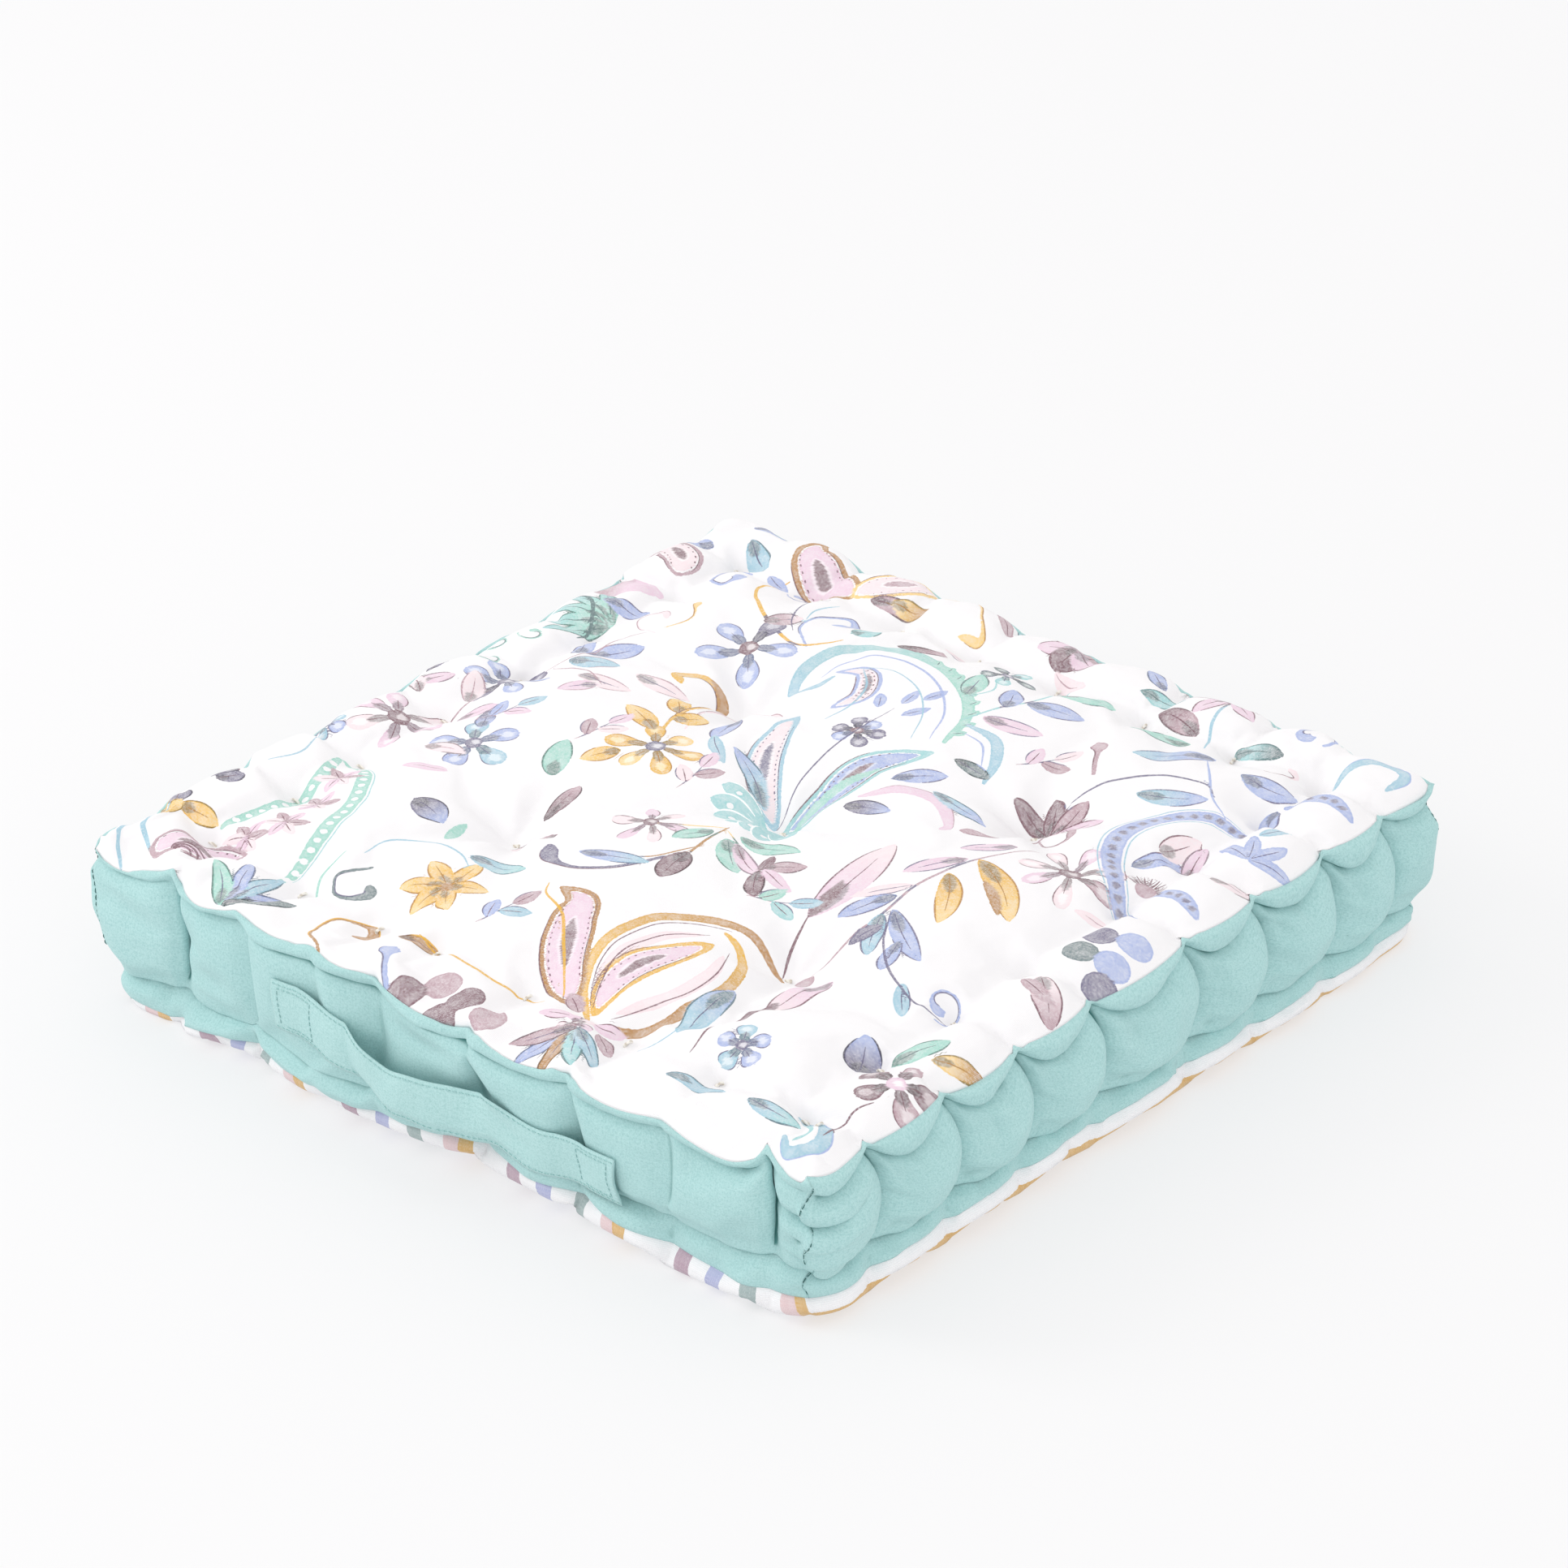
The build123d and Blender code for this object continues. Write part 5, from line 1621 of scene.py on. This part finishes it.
def make_roll_stitches(side):
    """The cords that hold a side's two rolls."""
    for level, ids, row, up in (("top", cover.top, LIP_ROW, 1), ("bottom", cover.bottom, CREASE_ROW, -1)):
        tubes = [roll_stitch(side, along, ids, row, up) for along in STITCHES[side]]
        name = f"{SIDES[side]}_{level}_roll_cords"
        cord_piece(name, tubes, tufting_cord, [f"{SIDES[side]}_{level}_roll_stitches"])


def make_tie(name, place):
    """A tuft's cord, from a small knot on top down to one underneath."""
    top, bottom = face_point(cover.top, *place), face_point(cover.bottom, *place)
    turn = np.linspace(0, 4 * np.pi, 60)
    knot = np.stack([1.5 * np.cos(turn * 1.5), 1.3 * np.sin(turn), 0.9 * np.sin(turn * 2.5)], 1)
    tail = through(top + (0.4, 0.2, -0.2), top + (1.6, -0.8, 0.8), top + (3.0, -1.2, 0.9))
    line = through(top + (0, 0, 0.4), top * (1, 1, 0.7), top * (1, 1, 0.35), bottom + (0, 0, 0.3))
    knot_on_top, knot_below = top + (0, 0, -0.2) + 0.8 * knot, bottom + (0, 0, 0.9) + knot * (1, 1, 0.5)
    tubes = [tube(line, CORD_RADIUS), tube(tail, 0.5), tube(knot_on_top, 0.55), tube(knot_below, 0.5)]
    cord_piece(name.replace("_tie", "_cord"), tubes, tufting_cord, [name])


def make_seam_thread(name, row, inward):
    """The thread that runs round a seam, deep between its two cloths."""
    ring = cover.points[seam[row]]
    flat = ring[:, :2] / np.linalg.norm(ring[:, :2], axis=1, keepdims=True)
    path = ring - np.column_stack([flat * 0.7, np.full(len(flat), inward)])
    thread = tube(path, THREAD_RADIUS, *THREAD_FORM, endless=True)
    cord_piece(name.replace("stitching", "thread"), [thread], sewing_thread, [name])


def make_corner_threads():
    """The stitches down the four corners, where the sides' ends are sewn together."""
    tubes = []
    for side in range(4):
        column = cover.points[seam[:, side * CELLS]]
        line = through(*column[::2])
        flat = line[:, :2] / np.linalg.norm(line[:, :2], axis=1, keepdims=True)
        out = np.column_stack([flat, np.zeros(len(flat))])
        tubes += stitches(line, *CORNER_STITCH, out)
    cord_piece("corner_seam_threads", tubes, seam_thread, ["corner_seam_stitching"])


for side in range(4):
    make_roll_stitches(side)
for name, place in zip(TIE_NAMES, TIES):
    make_tie(name, place)
make_seam_thread("top_seam_stitching", 0, 0.5)
make_seam_thread("bottom_seam_stitching", ROWS, -0.5)
make_corner_threads()


# ---------------------------------------------------------------- the strap
left_low, left_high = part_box("handle_left_tab")
right_low, right_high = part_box("handle_right_tab")
grip_low, grip_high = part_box("handle_grip")
STRAP_ENDS = (left_low.x / MM, right_high.x / MM)
GRIP_ENDS = (grip_low.x / MM, grip_high.x / MM)
STRAP_HALF = 14.3    # half its width
STRAP_THICK = 1.4
STRAP_STATIONS, STRAP_ACROSS = 150, 15
STRAP_PLACES = (-85, -65, -35, -10, 15, 40, 60, 80, 100, 117)
STRAP_DROP = (0, 2, 7, 9, 7, 3, 3, 5, 2, 0)            # how far the strap's middle line sags
STRAP_BOW = (0, 3, 16, 20, 17, 10, 8, 6, 2, 0)         # how far it stands off its sewn ends' plane


def strap_middle(x):
    """The height of the strap's middle line: sloping from end to end, and sagging between the tabs."""
    ends = [(low.z + high.z) / 2 / MM for low, high in ((left_low, left_high), (right_low, right_high))]
    level = np.interp(x, (-84, 117), ends)
    return level - smooth_keys(x, STRAP_DROP)


def smooth_keys(x, values):
    """A smooth curve through the strap's key values."""
    line = np.linspace(STRAP_PLACES[0], STRAP_PLACES[-1], 80)
    curve = np.interp(line, STRAP_PLACES, values)
    for _ in range(12):
        curve[1:-1] = (curve[:-2] + 2 * curve[1:-1] + curve[2:]) / 4
    return np.interp(x, line, curve)


def grip_share(x):
    """0 on the sewn ends and 1 at the middle of the free part."""
    share = np.clip((x - GRIP_ENDS[0]) / (GRIP_ENDS[1] - GRIP_ENDS[0]), 0, 1)
    return np.sin(np.pi * share) ** 0.85


def front_surface(x, z):
    """How far out the front of the cushion reaches round a point."""
    points = front_points[np.abs(front_points[:, 2] - z) < 5]
    near = points[np.abs(points[:, 0] - x) < 5]
    return -near[:, 1].min() - HALF


def strap_grid():
    """The strap's middle surface: stations along it by points across it, from its lower edge up."""
    along = np.linspace(*STRAP_ENDS, STRAP_STATIONS)
    across = np.linspace(-1, 1, STRAP_ACROSS)
    free = grip_share(along)
    grid = np.zeros((STRAP_STATIONS, STRAP_ACROSS, 3))
    levels = (-1, 0, 1)
    cushion = np.array([[front_surface(x, strap_middle(x) + STRAP_HALF * t) for t in levels] for x in along])
    padded = np.pad(cushion, ((6, 6), (0, 0)), mode="edge")
    cushion = np.array([padded[i : i + 13].mean(0) for i in range(STRAP_STATIONS)])
    wave = 1.5 * np.sin(along / 7.5 + 0.6) + 0.8 * np.sin(along / 4.3 + 2.0)
    for k, t in enumerate(across):
        upper = (t + 1) / 2
        facing = np.clip((along - 10) / 60, -1, 1)
        bow = smooth_keys(along, STRAP_BOW) * (1 - 0.16 * facing * (2 * upper - 1))
        sway = wave * free * (1.6 * upper - 0.5) + 1.5 * np.sin(along / 11 + 1.3) * free * (1 - upper)
        belly = 1.1 * (1 - t**2)
        base = np.array([np.interp(t, levels, row) for row in cushion])
        resting = base + STRAP_THICK / 2 + 0.5
        out = np.maximum(resting, bow + 1.5) if upper > 0.2 else np.maximum(resting, bow)
        width = STRAP_HALF + 0.5 * np.sin(along / 21)
        grid[:, k, 0] = along + 0.6 * np.sin(t * 3 + along / 30)
        grid[:, k, 1] = -HALF - out - sway - belly
        grid[:, k, 2] = strap_middle(along) + t * width + (0.5 + 0.6 * upper) * wave * free
    return grid


def strap_solid(grid):
    """The strap's folded cloth round its middle surface: a closed loop of points at each station."""
    normal = grid_normals(grid)
    across = np.linspace(-1, 1, grid.shape[1])
    swell = 1 - 0.28 * bell(np.abs(across) - 0.86, 0.06)
    half = STRAP_THICK / 2 * swell * np.sqrt(np.clip(1.04 - np.abs(across) ** 14, 0.1, 1))
    outer = grid + normal * half[None, :, None]
    inner = grid - normal * half[None, :, None]
    return np.concatenate([outer, inner[:, ::-1]], 1), outer, normal


def strap_mesh(name, loops, cap_first, cap_last):
    """Half of the strap: quads round it, and across its sewn end."""
    stations, around = loops.shape[:2]
    ids = np.arange(stations * around).reshape(stations, around)
    faces = quads(closed(ids), True).tolist()
    half = around // 2
    for wanted, loop, order in ((cap_first, ids[0], -1), (cap_last, ids[-1], 1)):
        if wanted:
            across = np.stack([loop[:half], loop[: half - 1 : -1]])
            faces += [face[::order] for face in quads(across.T).tolist()]
    obj = new_mesh(name, loops.reshape(-1, 3), faces)
    bm = bmesh.new()
    bm.from_mesh(obj.data)
    bmesh.ops.recalc_face_normals(bm, faces=bm.faces)
    bm.to_mesh(obj.data)
    bm.free()
    return obj


def strap_cloth(loops, first):
    """The strap cloth's own directions, for its weave."""
    stations, around = loops.shape[:2]
    run = np.arange(stations)[:, None] * (STRAP_ENDS[1] - STRAP_ENDS[0]) / STRAP_STATIONS + first
    u = np.repeat(run, around, 1)
    v = np.concatenate([np.linspace(0, 27, around // 2), np.linspace(29, 56, around // 2)])
    return np.dstack([u, np.repeat(v[None], stations, 0), 0 * u])


def make_strap():
    """The carry strap, in two halves from their sewn ends to the free middle."""
    grid = strap_grid()
    loops, outer, normal = strap_solid(grid)
    middle = STRAP_STATIONS // 2
    axis_y = frame["record"]["behaviour"]["joints"][0]["pos_m"][1]
    for word, part, edge, way, nodes in (
        ("left", slice(0, middle + 1), GRIP_ENDS[0], 1, ["handle_left_tab", "handle_grip"]),
        ("right", slice(middle, None), GRIP_ENDS[1], -1, ["handle_right_tab", "handle_hem_stitching"]),
    ):
        ends = (edge - 3 * way, edge + 30 * way)
        start, end = (Vector((x * MM, axis_y, strap_middle(x) * MM)) for x in ends)
        left = word == "left"
        pieces = [strap_mesh(f"strap_{word}", loops[part], left, not left)]
        give(pieces[0], "cloth", strap_cloth(loops[part], 0 if left else 120))
        soft_piece(pieces[0], strap_linen, nodes, body=None)
        tubes = []
        for k in (1, STRAP_ACROSS - 2):
            tubes += stitches(outer[part, k], *HEM_STITCH, normal[part, k])
        name = f"strap_{word}_hem_stitching"
        pieces.append(cord_piece(name, tubes, sewing_thread, [], None))
        for piece in pieces:
            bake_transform(piece)
        first, last = (3, 17) if left else (STRAP_STATIONS - 18, STRAP_STATIONS - 4)
        box, out = (
            np.vstack([rows[first, 2:-2], rows[first:last, -3], rows[last, -3:1:-1], rows[last:first:-1, 2]])
            for rows in (outer, normal)
        )
        tubes = stitches(box, *TAB_STITCH, out)
        node = f"handle_{word}_tab_stitching"
        cord_piece(f"strap_{word}_tab_stitching", tubes, sewing_thread, [node])


front_points = vertices(bpy.data.objects["front_side_cloth"])
make_strap()


# ---------------------------------------------------------------- stage
# Where the camera stands, which way it looks, how far it leans in degrees, and its lens in mm.
CAMERA_PLACE, CAMERA_AHEAD = (1.7637, -1.9092, 1.5474), (-0.5896, 0.6471, -0.4833)
CAMERA_ROLL, CAMERA_LENS = -1.49, 130.4
LIGHTS_AIM = (0, 0, 0.05)
FLOOR_COLOUR = (0.30, 0.30, 0.30, 1)
FLOOR_GLOW = 0.605    # the floor shines a little by itself, which keeps the shadows faint


def make_floor():
    """The plain pale floor that the cushion lies on."""
    reach, under = 30.0, -0.0006
    mesh = bpy.data.meshes.new("floor")
    corners = [(x * reach, y * reach, under) for x, y in ((-1, -1), (1, -1), (1, 1), (-1, 1))]
    mesh.from_pydata(corners, [], [(0, 1, 2, 3)])
    floor = add_object("floor", mesh)
    look = Look("floor")
    look.shader.inputs["Base Color"].default_value = FLOOR_COLOUR
    look.shader.inputs["Emission Color"].default_value = (0.985, 0.985, 1.0, 1)
    look.shader.inputs["Emission Strength"].default_value = FLOOR_GLOW
    look.shader.inputs["Roughness"].default_value = 0.9
    look.shader.inputs["Specular IOR Level"].default_value = 0.1
    floor.data.materials.append(look.material)


def make_light(name, energy, size, place, tint):
    """A large soft light that faces the cushion's middle."""
    light = bpy.data.lights.new(name, "AREA")
    light.energy, light.size, light.color = energy, size, tint
    obj = add_object(name, light)
    obj.location = place
    obj.rotation_euler = (Vector(LIGHTS_AIM) - Vector(place)).to_track_quat("-Z", "Y").to_euler()


def make_camera():
    """The camera at the photograph's place: far off, a little above and turned a degree and a half."""
    data = bpy.data.cameras.new("camera")
    data.lens, data.sensor_width, data.clip_end = CAMERA_LENS, 36, 100
    camera = add_object("camera", data)
    ahead = Vector(CAMERA_AHEAD).normalized()
    level = ahead.cross(Vector((0, 0, 1))).normalized()
    upright = level.cross(ahead)
    roll = math.radians(CAMERA_ROLL)
    right = level * math.cos(roll) + upright * math.sin(roll)
    up = upright * math.cos(roll) - level * math.sin(roll)
    axes = Matrix((right, up, -ahead)).transposed().to_4x4()
    camera.matrix_world = Matrix.Translation(CAMERA_PLACE) @ axes
    bpy.context.scene.camera = camera


make_floor()
world = bpy.data.worlds.new("studio")
world.use_nodes = True
background = world.node_tree.nodes["Background"]
background.inputs["Color"].default_value = (1.0, 0.985, 0.975, 1)
background.inputs["Strength"].default_value = 1.10
bpy.context.scene.world = world
make_light("key", 17, 1.1, (-2.0, -1.3, 1.45), (1.0, 0.99, 0.98))
make_light("side", 5, 1.4, (1.9, -1.6, 1.4), (0.98, 0.99, 1.0))
bpy.context.scene.view_settings.view_transform = "Standard"
make_camera()
